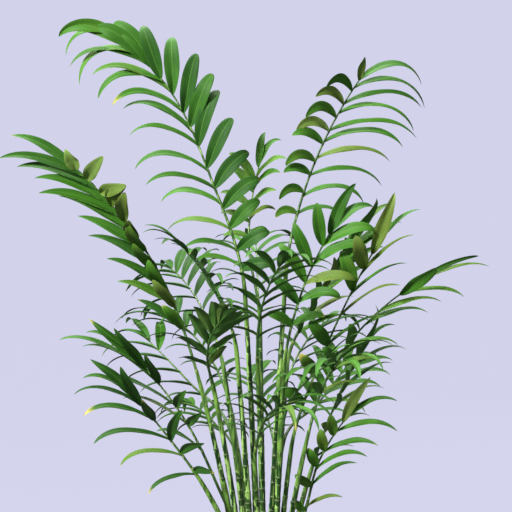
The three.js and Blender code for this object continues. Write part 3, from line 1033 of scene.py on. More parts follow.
@dataclass(frozen=True)
class Blade:
    """The outline, folds and thickness that every leaf blade shares."""

    rows: int = 30
    columns: int = 13
    rise: float = 0.58
    fall: float = 0.84
    blunt_fall: float = 0.56
    usual_half: float = 0.012
    least_half: float = 0.00012
    root_narrowing: int = 6
    sheet: float = 0.00045
    thinner_edge: float = 0.7
    thinner_tip: float = 0.5
    foot: Bump = Bump(0, 0.006, 1.3)
    rib: Bump = Bump(0, 0.0011, 0.0006)
    folds: tuple[float, float, float] = (38, 13, 24)
    fold_places: tuple[float, float, float] = (0, 0.45, 1)
    fold_stray: float = 0.25
    pleat: float = 0.016
    pleat_turn: float = 3 * math.pi
    pleat_start: float = 0.2
    wave: float = 0.07
    wave_rate: float = 9
    wave_rate_stray: float = 4
    wave_lag: float = 1.7
    wave_shift: float = 6
    wave_range: Pair = (0.1, 0.4)
    twist: float = 16
    twist_start: float = 0.15
    sickle: float = 0.035
    crisp: float = 34

    def outline(self, along: np.ndarray, blunt: float) -> np.ndarray:
        """The half-width along the blade, where its widest is 1.

        Args:
            along: The shares of the length that are wanted.
            blunt: How blunt the tip is, from 0 to 1.

        Returns:
            The half-width at each share.
        """
        fall = mix(self.fall, self.blunt_fall, blunt)
        widest = self.rise / (self.rise + fall)
        peak = widest**self.rise * (1 - widest) ** fall
        return along**self.rise * (1 - along) ** fall / peak

    def spine(self, leaflet: Leaflet, along: np.ndarray) -> tuple[np.ndarray, np.ndarray, np.ndarray]:
        """The line down the middle of the blade.

        Args:
            leaflet: The leaflet's run.
            along: The shares of its length that are wanted.

        Returns:
            The places, the headings and the upper faces there.
        """
        spans = len(leaflet.places) - 1
        slopes = np.gradient(leaflet.places, axis=0)
        index = np.minimum((along * spans).astype(int), spans - 1)
        u = (along * spans - index)[:, None]
        start, end = leaflet.places[index], leaflet.places[index + 1]
        places, leanings = curve(start, end, slopes[index], slopes[index + 1], u)
        headings = unit(leanings)
        faces = leaflet.faces[index] * (1 - u) + leaflet.faces[index + 1] * u
        faces = unit(faces - headings * (faces * headings).sum(1, keepdims=True))
        return places, headings, faces

    def bent(self, leaflet: Leaflet, along: np.ndarray, plant: int,
             shift: np.ndarray) -> tuple[np.ndarray, np.ndarray, np.ndarray]:
        """The line down the middle of the blade, twisted, bowed to one side and moved to its stalk.

        Args:
            leaflet: The leaflet's run.
            along: The shares of its length that are wanted.
            plant: The number of the frond, for its draws.
            shift: How far the root moves.

        Returns:
            The places, the sideways directions and the upper faces there.
        """
        places, headings, faces = self.spine(leaflet, along)
        asides = np.cross(headings, faces)
        most = np.radians(self.twist * draw(plant, leaflet.number, Use.TWIST))
        turn = (most * smooth(along, self.twist_start, 1))[:, None]
        faces, asides = (faces * np.cos(turn) + asides * np.sin(turn),
                         asides * np.cos(turn) - faces * np.sin(turn))
        bow = self.sickle * leaflet.length * draw(plant, leaflet.number, Use.BOW)
        places = places + shift * ((1 - along) ** 2)[:, None]
        places = places + asides * (bow * along * (1 - along) * 4)[:, None]
        return places, asides, faces

    def section(self, leaflet: Leaflet, along: np.ndarray, plant: int,
                u: np.ndarray) -> tuple[np.ndarray, np.ndarray, np.ndarray, np.ndarray]:
        """The blade's width, folds and thickness.

        Args:
            leaflet: The leaflet's run.
            along: The shares of its length that are wanted.
            plant: The number of the frond, for its draws.
            u: The places across, from -1 to 1.

        Returns:
            The half-width, and how far the points lie sideways and, on the under and the upper side, up.
        """
        fold_draw, rate_draw, shift_draw = (
            draw(plant, leaflet.number, use) for use in (Use.FOLD, Use.WAVE_RATE, Use.WAVE_SHIFT)
        )
        half = leaflet.width / 2 * self.outline(along, leaflet.blunt)
        half = np.maximum(half, leaflet.root * (1 - along) ** self.root_narrowing)
        half = np.maximum(half, self.least_half)[:, None]
        folds = (*self.folds[:2], self.folds[2] * (1 - leaflet.blunt))
        fold = np.radians(np.interp(along, self.fold_places, folds))[:, None]
        fold = fold * (1 + self.fold_stray * fold_draw)
        rate = self.wave_rate + self.wave_rate_stray * rate_draw
        ruffle = np.sin(along[:, None] * rate + np.sign(u) * self.wave_lag + self.wave_shift * shift_draw)
        pleats = self.pleat * np.cos(self.pleat_turn * u) * smooth(along, 0, self.pleat_start)[:, None]
        lifted = np.abs(u) * np.sin(fold) + pleats
        lifted += self.wave * ruffle * u**2 * smooth(along, *self.wave_range)[:, None]
        lifted *= half
        spread = u * np.cos(fold) * half
        thick = self.sheet * (1 - self.thinner_edge * u**4) * (1 - self.thinner_tip * along[:, None])
        foot = leaflet.root * self.foot.height * self.foot.at(along[:, None] * leaflet.length)
        thick = thick + foot * (1 - u**2)
        rib = self.rib.height * self.rib.at(u * half) * (1 - along[:, None])
        return half, spread, lifted - thick / 2 - rib, lifted + thick / 2

    def grow(self, skin: Skin, leaflet: Leaflet, plant: int, shift: np.ndarray) -> None:
        """Adds one leaflet's blade.

        Args:
            skin: Where the blade goes.
            leaflet: The leaflet's run.
            plant: The number of the frond, for its draws.
            shift: How far its root moves to meet the smooth stalk.
        """
        even = np.linspace(0, 1, self.rows)
        along = (even + smooth(even, 0, 1)) / 2
        u = np.linspace(-1, 1, self.columns)
        places, asides, faces = self.bent(leaflet, along, plant, shift)
        half, spread, bottom, top = self.section(leaflet, along, plant, u)
        level = np.concatenate([bottom[:, ::-1], top], axis=1)[..., None]
        sideways = np.concatenate([spread[:, ::-1], spread], axis=1)[..., None]
        rings = places[:, None] + asides[:, None] * sideways + faces[:, None] * level
        across = np.concatenate([u[::-1], u])
        under = np.repeat((1.0, 0.0), self.columns)
        skin.loft(rings, along=along[:, None], across=across, under=under, wide=half / self.usual_half,
                  hue=leaflet.hue, dry=leaflet.dry)


@dataclass(frozen=True)
class Growth:
    """A frond in its place on its cane."""

    number: int
    frond: Frond
    cane: Cane
    start_radius: float = 0.0038
    tip_radius: float = 0.0015
    taper: float = 0.8
    face_up: float = 0.35
    stations: int = 8
    start_tilt: float = 14
    steps: int = 12
    crowding: float = 1.15
    last_root: float = 0.995
    last_opening: float = 0.38
    shrink: float = 0.78
    longest_at: float = 0.68
    stray: float = 0.22
    splay_stray: float = 6
    lift_stray: float = 8
    length_stray: float = 0.08
    droop_stray: float = 0.35
    tip_droop_power: int = 5
    root_size: float = 0.6
    blunt_curls: Pair = (0.3, 1.0)
    pointed_end: int = 20
    dry_rate: float = 2.4
    dry_offset: float = 1.4
    hue_stray: float = 0.13
    hue_range: Pair = (0.02, 0.97)
    odd_above: float = 0.8
    odd_hue: float = 0.3

    @property
    def way(self) -> Way:
        """The line that the stalk follows.

        Returns:
            The way from the cane to the tip of the stalk.
        """
        frond = self.frond
        cane_way = self.cane.way()
        place, along = cane_way.at(frond.start)
        if frond.start == 1:
            start = place + along * GAP
            heading = along
        else:
            outward = Vector(frond.middle) - place
            outward.z = 0
            outward = square_to(outward, along)
            reach = self.cane.radius(frond.start, cane_way.length) + self.start_radius + GAP
            tilt = math.radians(self.start_tilt)
            start = place + outward * reach
            heading = along * math.cos(tilt) + outward * math.sin(tilt)
        points = [Vector(p) for p in (frond.middle, frond.bend, frond.tip) if p is not None]
        return Way([start, *points], heading)

    def upper_side(self, way: Way, along: Vector, share: float) -> Vector:
        """The side of the stalk between its two ranks of leaflets.

        Args:
            way: The stalk's way.
            along: Its heading there.
            share: How far along it.

        Returns:
            A unit vector square to the heading.
        """
        lean = Vector(self.frond.tip) - way.points[0]
        lean.z = 0
        plain = square_to(UP * self.face_up - lean.normalized(), along)
        settled = min(1.0, max(0.0, share) / self.frond.first)
        return Quaternion(along, math.radians(self.frond.roll * settled)) @ plain

    def radius(self, share: float) -> float:
        """The radius of the stalk's solid a share of the way along it."""
        return mix(self.start_radius, self.tip_radius, max(0.0, share) ** self.taper)

    def root(self, way: Way, share: float) -> Vector:
        """The place on the straight pieces of the stalk's solid where a leaflet is rooted.

        Args:
            way: The stalk's way.
            share: How far along it.

        Returns:
            The place.
        """
        spans = self.stations - 1
        station = min(int(share * spans), spans - 1)
        low = way.at(station / spans)[0]
        high = way.at((station + 1) / spans)[0]
        return low.lerp(high, share * spans - station)

    def run(self, way: Way, pair: int, side: int, number: int) -> Leaflet:
        """Works out where one leaflet grows and how it runs.

        Args:
            way: The stalk's way.
            pair: Which pair it is in, counted from the base.
            side: 1 for the right rank and -1 for the left.
            number: The leaflet's number on the frond, for its draws.

        Returns:
            The leaflet.
        """
        frond = self.frond
        habit = frond if side > 0 else replace(frond, **frond.other.changes())
        shift_draw, splay_draw, lift_draw, length_draw, droop_draw, dry_draw = (
            draw(self.number, number, use)
            for use in (Use.SHIFT, Use.SPLAY, Use.LIFT, Use.LENGTH, Use.DROOP, Use.DRY)
        )
        last = pair == frond.pairs - 1
        far = pair / (frond.pairs - 1)
        shift = 0 if last else self.stray * shift_draw / frond.pairs
        reached = 1 - (1 - far) ** self.crowding
        share = mix(frond.first, self.last_root, reached) + shift * (1 - frond.first)
        here = self.root(way, share)
        along = way.at(share)[1]
        upper = self.upper_side(way, along, share)
        across = along.cross(upper) * side
        opening = mix(*habit.splay, far) * (self.last_opening if last else 1)
        splay = math.radians(opening + self.splay_stray * splay_draw)
        lift = math.radians(habit.lift + habit.lift_gain * far + self.lift_stray * lift_draw)
        heading = along * math.cos(splay) + across * (math.sin(splay) * math.cos(lift))
        heading += upper * (math.sin(splay) * math.sin(lift))
        size = 1 - self.shrink * (far - self.longest_at) ** 2
        tip_length = frond.length if habit.tip_length is None else habit.tip_length
        length = (tip_length if last else habit.length) * size * (1 + self.length_stray * length_draw)
        fall = habit.droop * (1 + habit.tip_droop * far**self.tip_droop_power)
        fall *= 1 + self.droop_stray * droop_draw
        full_width = habit.tip_width if last and habit.tip_width is not None else habit.width
        face = square_to(upper.lerp(UP, habit.level), heading)
        places, faces = [here.copy()], [face]
        for step in range(1, self.steps + 1):
            heading = heading - UP * (2 * fall * step / self.steps**2)
            heading = (heading - face * (4 * habit.curl * step**3 / self.steps**4)).normalized()
            face = square_to(face, heading)
            here = here + heading * (length / self.steps)
            places.append(here)
            faces.append(face)
        tone = mix(habit.tone.value, (habit.tip_tone or habit.tone).value, far)
        blunt = float(smooth(habit.curl, *self.blunt_curls)) * (1 - far**self.pointed_end)
        return Leaflet(
            places=np.array(places), faces=np.array(faces), share=share, side=side, number=number,
            length=length, width=full_width * math.sqrt(size), root=self.root_size * self.radius(share),
            blunt=blunt, hue=self.hue(tone, number),
            dry=max(0.0, self.dry_rate * dry_draw - self.dry_offset),
        )

    def hue(self, tone: float, number: int) -> float:
        """The place of one leaflet on the row of leaf colours.

        Args:
            tone: The tone of its rank there.
            number: The leaflet's number, for its draws.

        Returns:
            The place, from 0 to 1.
        """
        place = tone + self.hue_stray * draw(self.number, number, Use.HUE)
        if draw(self.number, number, Use.ODD_HUE) > self.odd_above:
            place += self.odd_hue
        return min(self.hue_range[1], max(self.hue_range[0], place))

    def leaflets(self, way: Way) -> list[Leaflet]:
        """The leaflets that the frond's solid has, so that the ones left out there stay out here.

        Args:
            way: The stalk's way.

        Returns:
            The leaflets.
        """
        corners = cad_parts[self.frond.name].data.vertices
        tree = KDTree(len(corners))
        for corner in corners:
            tree.insert(corner.co, corner.index)
        tree.balance()
        ranks = [(pair, side) for pair in reversed(range(self.frond.pairs)) for side in (1, -1)]
        runs = [self.run(way, *rank, number) for number, rank in enumerate(ranks)]
        return [run for run in runs if tree.find(Vector(run.places[-1]))[2] < SAME_POINT]

    def build(self, leaf: bpy.types.Material, stalk: bpy.types.Material, sheaths: Skin) -> None:
        """Builds the frond's pieces.

        Args:
            leaf: The finish of the blades.
            stalk: The finish of the stalk.
            sheaths: Where the frond's sheath goes.
        """
        way = self.way
        leaflets = self.leaflets(way)
        stem, blades = Skin(), Skin()
        rachis, blade = Stalk(self, way), Blade()
        rachis.grow(stem, leaflets)
        for leaflet in leaflets:
            shift = np.array(way.at(leaflet.share)[0]) - leaflet.places[0]
            blade.grow(blades, leaflet, self.number, shift)
        Sheath(self, way).grow(sheaths)
        label = self.frond.name.removeprefix("frond_")
        log.info("%s: %d of %d leaflets", self.frond.name, len(leaflets), 2 * self.frond.pairs)
        stem.piece(f"rachis_{label}", stalk, "frond", (self.frond.name,), rachis.crisp)
        blades.piece(f"leaflets_{label}", leaf, "frond", (self.frond.name,), blade.crisp)


@dataclass(frozen=True)
class Stalk:
    """A frond's rachis, channelled on its upper side and swollen where leaflets join."""

    growth: Growth
    way: Way
    rings: int = 64
    sides: int = 14
    slimmer: float = 0.9
    foot_in_cane: float = 0.003
    foot_in_sheath: float = 0.03
    rows_at_joint: tuple[float, ...] = (-0.006, -0.0025, 0.0, 0.0025, 0.006)
    shortest_step: float = 0.0006
    channel: Bump = Bump(0, 0.55, -0.26)
    swelling: Bump = Bump(0, 0.0045, 0.32)
    joint_mark: Bump = Bump(0.0035, 0.0022)
    joint_turn: float = -1.2
    end: float = 0.5
    crisp: float = 60

    def grow(self, skin: Skin, leaflets: list[Leaflet]) -> None:
        """Adds the stalk.

        Args:
            skin: Where the stalk goes.
            leaflets: The leaflets that it carries.
        """
        growth, way = self.growth, self.way
        back = self.foot_in_cane if growth.frond.start == 1 else self.foot_in_sheath
        roots = np.array([leaflet.share for leaflet in leaflets]) * way.length
        turns = np.array([leaflet.side for leaflet in leaflets])[:, None] * self.joint_turn
        even = np.linspace(-back, way.length, self.rings)
        near = (roots[:, None] + np.array(self.rows_at_joint)).ravel()
        rows = spaced(np.concatenate([even, near[near < way.length]]), self.shortest_step)
        places, headings = way.stations(rows)
        shares = rows / way.length
        firsts = [growth.upper_side(way, *there) for there in zip(headings, shares, strict=True)]
        radii = np.array([growth.radius(share) * self.slimmer for share in shares])[:, None]
        radii[-1] *= self.end
        angle = np.linspace(0, 2 * math.pi, self.sides, endpoint=False)
        off = rows[:, None] - roots
        toward = np.maximum(0, np.cos(angle[None] - turns))
        swelling = (self.swelling.at(off)[:, :, None] * toward[None] ** 2).max(1)
        channel = self.channel.at(np.minimum(angle, 2 * math.pi - angle))
        shape = 1 + self.channel.height * channel[None] + self.swelling.height * swelling
        joint = self.joint_mark.at(off).max(1)
        skin.tube(places, headings, firsts, radii * shape, upper=np.cos(angle)[None],
                  along=np.clip(shares, 0, 1)[:, None], joint=joint[:, None])


@dataclass(frozen=True)
class Sheath:
    """The sheath that clasps the cane below a frond and holds the foot of its stalk."""

    growth: Growth
    way: Way
    length: float = 0.075
    length_stray: float = 0.015
    sides: int = 20
    clasp_rows: int = 14
    clasp: float = 0.99
    widening: float = 0.08
    widest_at: float = 0.85
    neck_rows: int = 9
    neck: Pair = (0.004, 0.05)
    neck_fall: float = 0.042
    neck_size: float = 0.93
    mouth_rows: int = 6
    mouth: Pair = (0.003, 0.022)
    mouth_sizes: Pair = (1.07, 0.96)
    straw_start: int = 3
    lobe: float = 0.05
    lobe_range: Pair = (0.3, 0.7)

    def grow(self, skin: Skin) -> None:
        """Adds the sheath. On top of a cane it runs on round the stalk, and on its side it ends in a mouth.

        Args:
            skin: Where the sheath goes.
        """
        growth, way, cane = self.growth, self.way, self.growth.cane
        cane_way = cane.way()
        height = cane_way.length
        joint = growth.frond.start * height
        length = self.length + self.length_stray * draw(growth.number, 0, Use.SHEATH)
        rows = np.linspace(joint - length, joint, self.clasp_rows)
        centres, headings = cane_way.stations(rows)
        radii = []
        for row in rows:
            rise = (row - joint + length) / length
            wider = self.clasp + self.widening * smooth(rise, 0, self.widest_at)
            radii.append(cane.radius(row / height, height) * wider)
        if growth.frond.start == 1:
            rows = np.linspace(*self.neck, self.neck_rows)
            ends = way.stations(rows)
            foot, stem = radii[-1], growth.radius(0) * self.neck_size
            radii += [mix(foot, stem, float(smooth(row, 0, self.neck_fall))) for row in rows]
        else:
            rows = np.linspace(*self.mouth, self.mouth_rows)
            ends = cane_way.stations(joint + rows)
            foot = cane.radius(growth.frond.start, height)
            radii += [foot * mix(*self.mouth_sizes, row / self.mouth[1]) for row in rows]
        centres += ends[0]
        headings += ends[1]
        angle = np.linspace(0, 2 * math.pi, self.sides, endpoint=False)
        firsts = [growth.upper_side(way, heading, 0.0) for heading in headings]
        reached = np.linspace(0, 1, len(centres))
        lobes = 1 + self.lobe * np.cos(angle)[None] * smooth(reached, *self.lobe_range)[:, None]
        skin.tube(centres, headings, firsts, np.array(radii)[:, None] * lobes,
                  turn=(angle / (2 * math.pi))[None], mouth=reached[:, None] ** self.straw_start)


# The clump

CANES = (
    Cane("cane_tall_left", foot=(-0.008, 0.002), top=(-0.034, -0.004, 0.756)),
    Cane("cane_tall_right", foot=(0.016, -0.002), top=(0.048, 0.009, 0.796)),
    Cane("cane_left_outer", foot=(-0.05, 0.02), top=(-0.12, 0.03, 0.555)),
    Cane("cane_left_low", foot=(-0.044, -0.006), top=(-0.113, -0.018, 0.371)),
    Cane("cane_left_front", foot=(-0.039, -0.034), top=(-0.092, -0.062, 0.56)),
    Cane("cane_left_inner", foot=(-0.029, 0.01), top=(-0.076, 0.014, 0.6)),
    Cane("cane_centre_left", foot=(-0.02, -0.02), top=(-0.05, -0.04, 0.64)),
    Cane("cane_centre_front", foot=(0.004, -0.026), top=(-0.008, -0.06, 0.59)),
    Cane("cane_centre_back", foot=(0.002, 0.024), top=(-0.004, 0.048, 0.7)),
    Cane("cane_right_front", foot=(0.026, -0.022), top=(0.042, -0.056, 0.6)),
    Cane("cane_right_outer", foot=(0.034, 0.008), top=(0.058, 0.014, 0.44)),
    Cane("cane_right_mid", foot=(0.044, -0.013), top=(0.082, -0.034, 0.44)),
    Cane("cane_right_low", foot=(0.054, 0.02), top=(0.094, 0.036, 0.38)),
    Cane("cane_right_back", foot=(0.024, 0.026), top=(0.052, 0.07, 0.61)),
    Cane("cane_back_left", foot=(-0.022, 0.038), top=(-0.062, 0.118, 0.5)),
    Cane("cane_back_right", foot=(0.014, 0.048), top=(0.034, 0.138, 0.48)),
    Cane("cane_front", foot=(-0.006, -0.048), top=(-0.014, -0.128, 0.43)),
)

FRONDS = (
    Frond(
        "frond_tall_left", "cane_tall_left", middle=(-0.098, -0.02, 0.979), bend=(-0.199, -0.048, 1.182),
        tip=(-0.262, -0.062, 1.243), pairs=14, first=0.09, length=0.124, tip_length=0.172, width=0.032,
        splay=(70, 12), lift=24, lift_gain=-14, roll=-114, droop=0.5, tip_droop=3, level=0.15, curl=1.1,
        other=Side(
            length=0.172, width=0.023, splay=(50, 9), lift=28, lift_gain=0, droop=0.95, tip_droop=1.5,
            level=0.64, curl=0.4, tone=Tone.FRESH,
        ),
        tone=Tone.DEEP,
    ),
    Frond(
        "frond_tall_right", "cane_tall_right", middle=(0.088, 0.016, 0.972), tip=(0.196, 0.026, 1.188),
        pairs=10, first=0.3, length=0.185, width=0.024, splay=(50, 36), lift=36, roll=122, droop=1.25,
        tip_droop=0.6, level=0.66, curl=0.2,
        other=Side(
            length=0.09, tip_length=0.06, width=0.021, splay=(80, 64), lift=-4, droop=1.6, level=0.25,
            curl=0.7, tone=Tone.BRIGHT,
        ),
    ),
    Frond(
        "frond_left_high", "cane_left_outer", middle=(-0.225, 0, 0.832), tip=(-0.366, -0.05, 1.004),
        pairs=11, first=0.26, length=0.132, tip_length=0.058, width=0.029, splay=(40, 84), lift=88,
        lift_gain=-50, roll=-124, droop=0.5, tip_droop=0, level=0.2, curl=0.9,
        other=Side(
            length=0.178, tip_length=0.15, width=0.024, splay=(26, 10), lift=40, lift_gain=0, droop=0.5,
            tip_droop=0.15, level=0.55, curl=0.2, tone=Tone.DEEP, tip_tone=Tone.FRESH,
        ),
        tip_tone=Tone.PALE,
    ),
    Frond(
        "frond_left_mid", "cane_left_outer", start=0.42, middle=(-0.15, -0.008, 0.5),
        tip=(-0.25, -0.048, 0.634), pairs=6, first=0.3, length=0.135, width=0.021, splay=(84, 20), lift=42,
        lift_gain=20, roll=-126, droop=0.5, level=0.2, curl=0.7,
        other=Side(length=0.185, width=0.018, splay=(26, 8), lift=40, lift_gain=0, droop=0.14, level=0.72),
        tone=Tone.DEEP,
    ),
    Frond(
        "frond_left_low", "cane_left_low", middle=(-0.182, -0.04, 0.472), tip=(-0.25, -0.07, 0.558),
        pairs=6, first=0.16, length=0.125, width=0.022, splay=(86, 24), lift=42, lift_gain=10, roll=-126,
        droop=0.6, level=0.2, curl=0.7,
        other=Side(
            length=0.165, width=0.018, splay=(52, 10), lift=40, lift_gain=0, droop=0.42, tip_droop=0.1,
            level=0.7,
        ),
        tone=Tone.DEEP,
    ),
    Frond(
        "frond_centre_young", "cane_centre_back", middle=(-0.027, 0.056, 0.87), tip=(-0.006, 0.062, 1.015),
        pairs=6, first=0.55, length=0.086, width=0.02, roll=-35, curl=0.5, tone=Tone.BRIGHT,
    ),
    Frond(
        "frond_right_high", "cane_right_front", middle=(0.074, -0.072, 0.753), tip=(0.13, -0.095, 0.876),
        pairs=6, length=0.12, width=0.025, splay=(48, 24), lift=32, roll=112, droop=0.5, curl=0.9,
        other=Side(length=0.1, splay=(60, 40), level=0.2),
    ),
    Frond(
        "frond_right_back", "cane_right_back", middle=(0.1, 0.082, 0.725), tip=(0.168, 0.095, 0.84),
        pairs=7, first=0.25, length=0.165, width=0.021, splay=(24, 10), lift=40, roll=126, droop=0.3,
        tip_droop=0.8, level=0.7,
        other=Side(length=0.092, width=0.026, splay=(60, 34), level=0.2, curl=1, tone=Tone.FRESH),
        tone=Tone.BRIGHT,
    ),
    Frond(
        "frond_right_outer", "cane_right_outer", middle=(0.122, -0.026, 0.64), tip=(0.214, -0.08, 0.838),
        pairs=7, first=0.25, length=0.15, width=0.021, splay=(28, 14), lift=40, roll=128, droop=0.3,
        level=0.7,
        other=Side(length=0.096, width=0.029, splay=(66, 40), level=0.15, curl=1, tone=Tone.BRIGHT),
    ),
    Frond(
        "frond_far_right", "cane_right_mid", middle=(0.137, -0.048, 0.611), tip=(0.293, -0.062, 0.774),
        pairs=7, first=0.3, length=0.13, tip_length=0.185, width=0.02, tip_width=0.011, splay=(34, 12),
        lift=40, roll=130, droop=0.5, tip_droop=0.3, level=0.7,
        other=Side(length=0.104, width=0.028, splay=(60, 24), level=0.3, curl=1, tone=Tone.FRESH),
        tone=Tone.BRIGHT,
    ),
    Frond(
        "frond_right_low_back", "cane_right_low", middle=(0.139, 0.048, 0.507), tip=(0.19, 0.06, 0.622),
        pairs=6, first=0.2, length=0.135, width=0.015, splay=(38, 20), lift=40, roll=132, droop=0.55,
        level=0.8,
        other=Side(length=0.072, width=0.024, splay=(66, 36), level=0.2, curl=1, tone=Tone.FRESH),
        tone=Tone.DEEP,
    ),
    Frond(
        "frond_right_low", "cane_right_low", start=0.5, middle=(0.115, -0.01, 0.427),
        tip=(0.16, -0.04, 0.506), pairs=6, first=0.12, length=0.14, width=0.016, splay=(40, 22), lift=40,
        roll=130, droop=0.5, level=0.6,
        other=Side(length=0.062, width=0.022, splay=(62, 30), level=0.2, curl=1, tone=Tone.BRIGHT),
    ),
    Frond(
        "frond_front_left", "cane_left_front", middle=(-0.104, -0.15, 0.65), tip=(-0.08, -0.236, 0.71),
        pairs=6, length=0.104, width=0.026, splay=(44, 20), lift=20, droop=0.15, level=0.5,
    ),
    Frond(
        "frond_front_left_high", "cane_centre_left", middle=(-0.084, -0.095, 0.752),
        tip=(-0.14, -0.17, 0.838), pairs=7, length=0.118, width=0.019, lift=12, roll=-30, droop=0.6,
        level=0.95, tone=Tone.DEEP,
    ),
    Frond(
        "frond_front_centre", "cane_centre_front", middle=(-0.004, -0.13, 0.72), tip=(0.03, -0.225, 0.812),
        pairs=7, length=0.118, width=0.021, lift=12, droop=0.6, level=0.8,
    ),
    Frond(
        "frond_front_low", "cane_front", middle=(0, -0.205, 0.52), tip=(0.038, -0.33, 0.565), pairs=6,
        length=0.13, width=0.016, droop=0.7, level=0.98,
    ),
    Frond(
        "frond_front_right", "cane_right_front", start=0.75, middle=(0.095, -0.18, 0.61),
        tip=(0.145, -0.295, 0.645), pairs=6, length=0.125, width=0.018, roll=25, droop=0.6, level=0.95,
    ),
    Frond(
        "frond_back_left_high", "cane_left_inner", middle=(-0.13, 0.11, 0.735), tip=(-0.195, 0.23, 0.805),
        pairs=7, length=0.14, width=0.023, lift=14, roll=-30, level=0.95, tone=Tone.DEEP,
    ),
    Frond(
        "frond_back_left", "cane_back_left", middle=(-0.12, 0.21, 0.63), tip=(-0.205, 0.31, 0.7), pairs=7,
        length=0.145, width=0.02, lift=14, level=0.95, tone=Tone.DEEP,
    ),
    Frond(
        "frond_back_left_low", "cane_back_left", start=0.7, middle=(-0.1, 0.23, 0.47),
        tip=(-0.15, 0.33, 0.5), pairs=6, length=0.135, width=0.02, lift=14, droop=0.9, level=0.95,
    ),
    Frond(
        "frond_left_back", "cane_left_inner", start=0.7, middle=(-0.15, 0.11, 0.57),
        tip=(-0.24, 0.2, 0.65), pairs=6, length=0.14, width=0.024, lift=14, roll=-20, level=0.95,
        tone=Tone.DEEP,
    ),
    Frond(
        "frond_back_high", "cane_centre_back", start=0.8, middle=(-0.008, 0.165, 0.77),
        tip=(-0.012, 0.3, 0.87), pairs=8, length=0.145, width=0.02, lift=14, level=0.95, tone=Tone.DEEP,
    ),
    Frond(
        "frond_back_right", "cane_back_right", middle=(0.08, 0.24, 0.62), tip=(0.15, 0.35, 0.69), pairs=7,
        length=0.145, width=0.02, lift=14, level=0.95, tone=Tone.DEEP,
    ),
    Frond(
        "frond_back_low", "cane_back_right", start=0.72, middle=(0.01, 0.26, 0.49),
        tip=(-0.02, 0.38, 0.56), pairs=7, length=0.14, width=0.02, lift=14, droop=0.9, level=0.95,
        tone=Tone.DEEP,
    ),
    Frond(
        "frond_right_back_low", "cane_right_back", start=0.6, middle=(0.118, 0.165, 0.52),
        tip=(0.185, 0.27, 0.59), pairs=6, length=0.14, roll=20,
    ),
)


# The pot and what fills it


def rounded(corners: list[Point], longest: float, cuts: int = 6) -> list[Pair]:
    """A profile with rounded corners, cut into short steps.

    Args:
        corners: The radius and height of each corner, and how far it is rounded.
        longest: The longest step.
        cuts: How many points a rounded corner has.

    Returns:
        The radius and height of each point of the profile.
    """
    points = [Vector(corners[0][:2])]
    for before, here, after in zip(corners, corners[1:], corners[2:]):
        corner, reach = Vector(here[:2]), here[2]
        start = corner + (Vector(before[:2]) - corner).normalized() * reach
        end = corner + (Vector(after[:2]) - corner).normalized() * reach
        for u in np.linspace(0, 1, cuts):
            points.append(start * (1 - u) ** 2 + corner * (2 * u * (1 - u)) + end * u**2)
    points.append(Vector(corners[-1][:2]))
    profile = []
    for start, end in pairwise(points):
        steps = max(1, math.ceil((end - start).length / longest))
        profile += [tuple(start.lerp(end, k / steps)) for k in range(steps)]
    return [*profile, tuple(points[-1])]


def turned(profile: list[Pair], around: int) -> np.ndarray:
    """The rings of a profile turned about the upright axis.

    Args:
        profile: The radius and height of each ring.
        around: How many points a ring has.

    Returns:
        The places, as rings by points by 3.
    """
    radius, height = np.array(profile).T[..., None]
    angle = np.linspace(0, 2 * math.pi, around, endpoint=False)
    parts = np.broadcast_arrays(radius * np.cos(angle), radius * np.sin(angle), height)
    return np.stack(parts, axis=-1).copy()


@dataclass(frozen=True)
class Pot:
    """The plain round pot with its deep rim."""

    height: float = 0.240
    rim_radius: float = 0.132
    body_radius: float = 0.124
    foot_radius: float = 0.094
    wall: float = 0.008
    floor: float = 0.012
    rim_depth: float = 0.032
    foot_round: float = 0.003
    body_round: float = 0.002
    rim_round: float = 0.003
    lip_round: float = 0.0032
    floor_round: float = 0.006
    centre: float = 0.0005
    around: int = 128
    step: float = 0.0035
    wheel: float = 0.00022
    fine_rate: float = 1500
    fine_sway: Pair = (2, 40)
    broad_rate: float = 610
    waved_heights: Pair = (0.004, 0.02)
    waved_radii: Pair = (0.05, 0.09)
    inner_margin: float = 0.002
    damp_from: Pair = (0.011, 0.014)
    damp_to: float = 0.215
    crisp: float = 40

    def outer_radius(self, height: float) -> float:
        """The radius of the wall's outside at a height."""
        return mix(self.foot_radius, self.body_radius, height / self.height)

    def inner_radius(self, height: float) -> float:
        """The radius of the wall's inside at a height."""
        return self.outer_radius(height) - self.wall

    def corners(self) -> list[Point]:
        """The corners of the pot's profile.

        Returns:
            The radius and height of each, and how far it is rounded.
        """
        under = self.height - self.rim_depth
        return [
            (self.centre, 0, 0),
            (self.foot_radius, 0, self.foot_round),
            (self.outer_radius(under), under, self.body_round),
            (self.rim_radius, under, self.rim_round),
            (self.rim_radius, self.height, self.lip_round),
            (self.inner_radius(self.height), self.height, self.lip_round),
            (self.inner_radius(self.floor), self.floor, self.floor_round),
            (self.centre, self.floor, 0),
        ]

    def build(self) -> None:
        """Builds the pot, with the fine waves of the wheel on its walls."""
        rings = turned(rounded(self.corners(), self.step), self.around)
        radius = np.hypot(rings[..., 0], rings[..., 1])
        height = rings[..., 2]
        angle = np.arctan2(rings[..., 1], rings[..., 0])
        most, rate = self.fine_sway
        waves = np.sin(height * self.fine_rate + most * np.sin(angle + height * rate))
        waves = waves + np.sin(height * self.broad_rate + angle)
        walls = smooth(height, *self.waved_heights) * smooth(radius, *self.waved_radii)
        scale = 1 - self.wheel * (1 + waves) * walls / np.maximum(radius, self.wall)
        rings[..., :2] *= scale[..., None]
        inside = radius < self.inner_radius(self.height) + self.inner_margin
        inner = inside * smooth(height, *self.damp_from) * smooth(-height, -self.height, -self.damp_to)
        skin = Skin()
        skin.loft(rings, inner=inner)
        skin.piece("clay_pot", ClayFinish().material(), "pot", ("pot",), self.crisp)


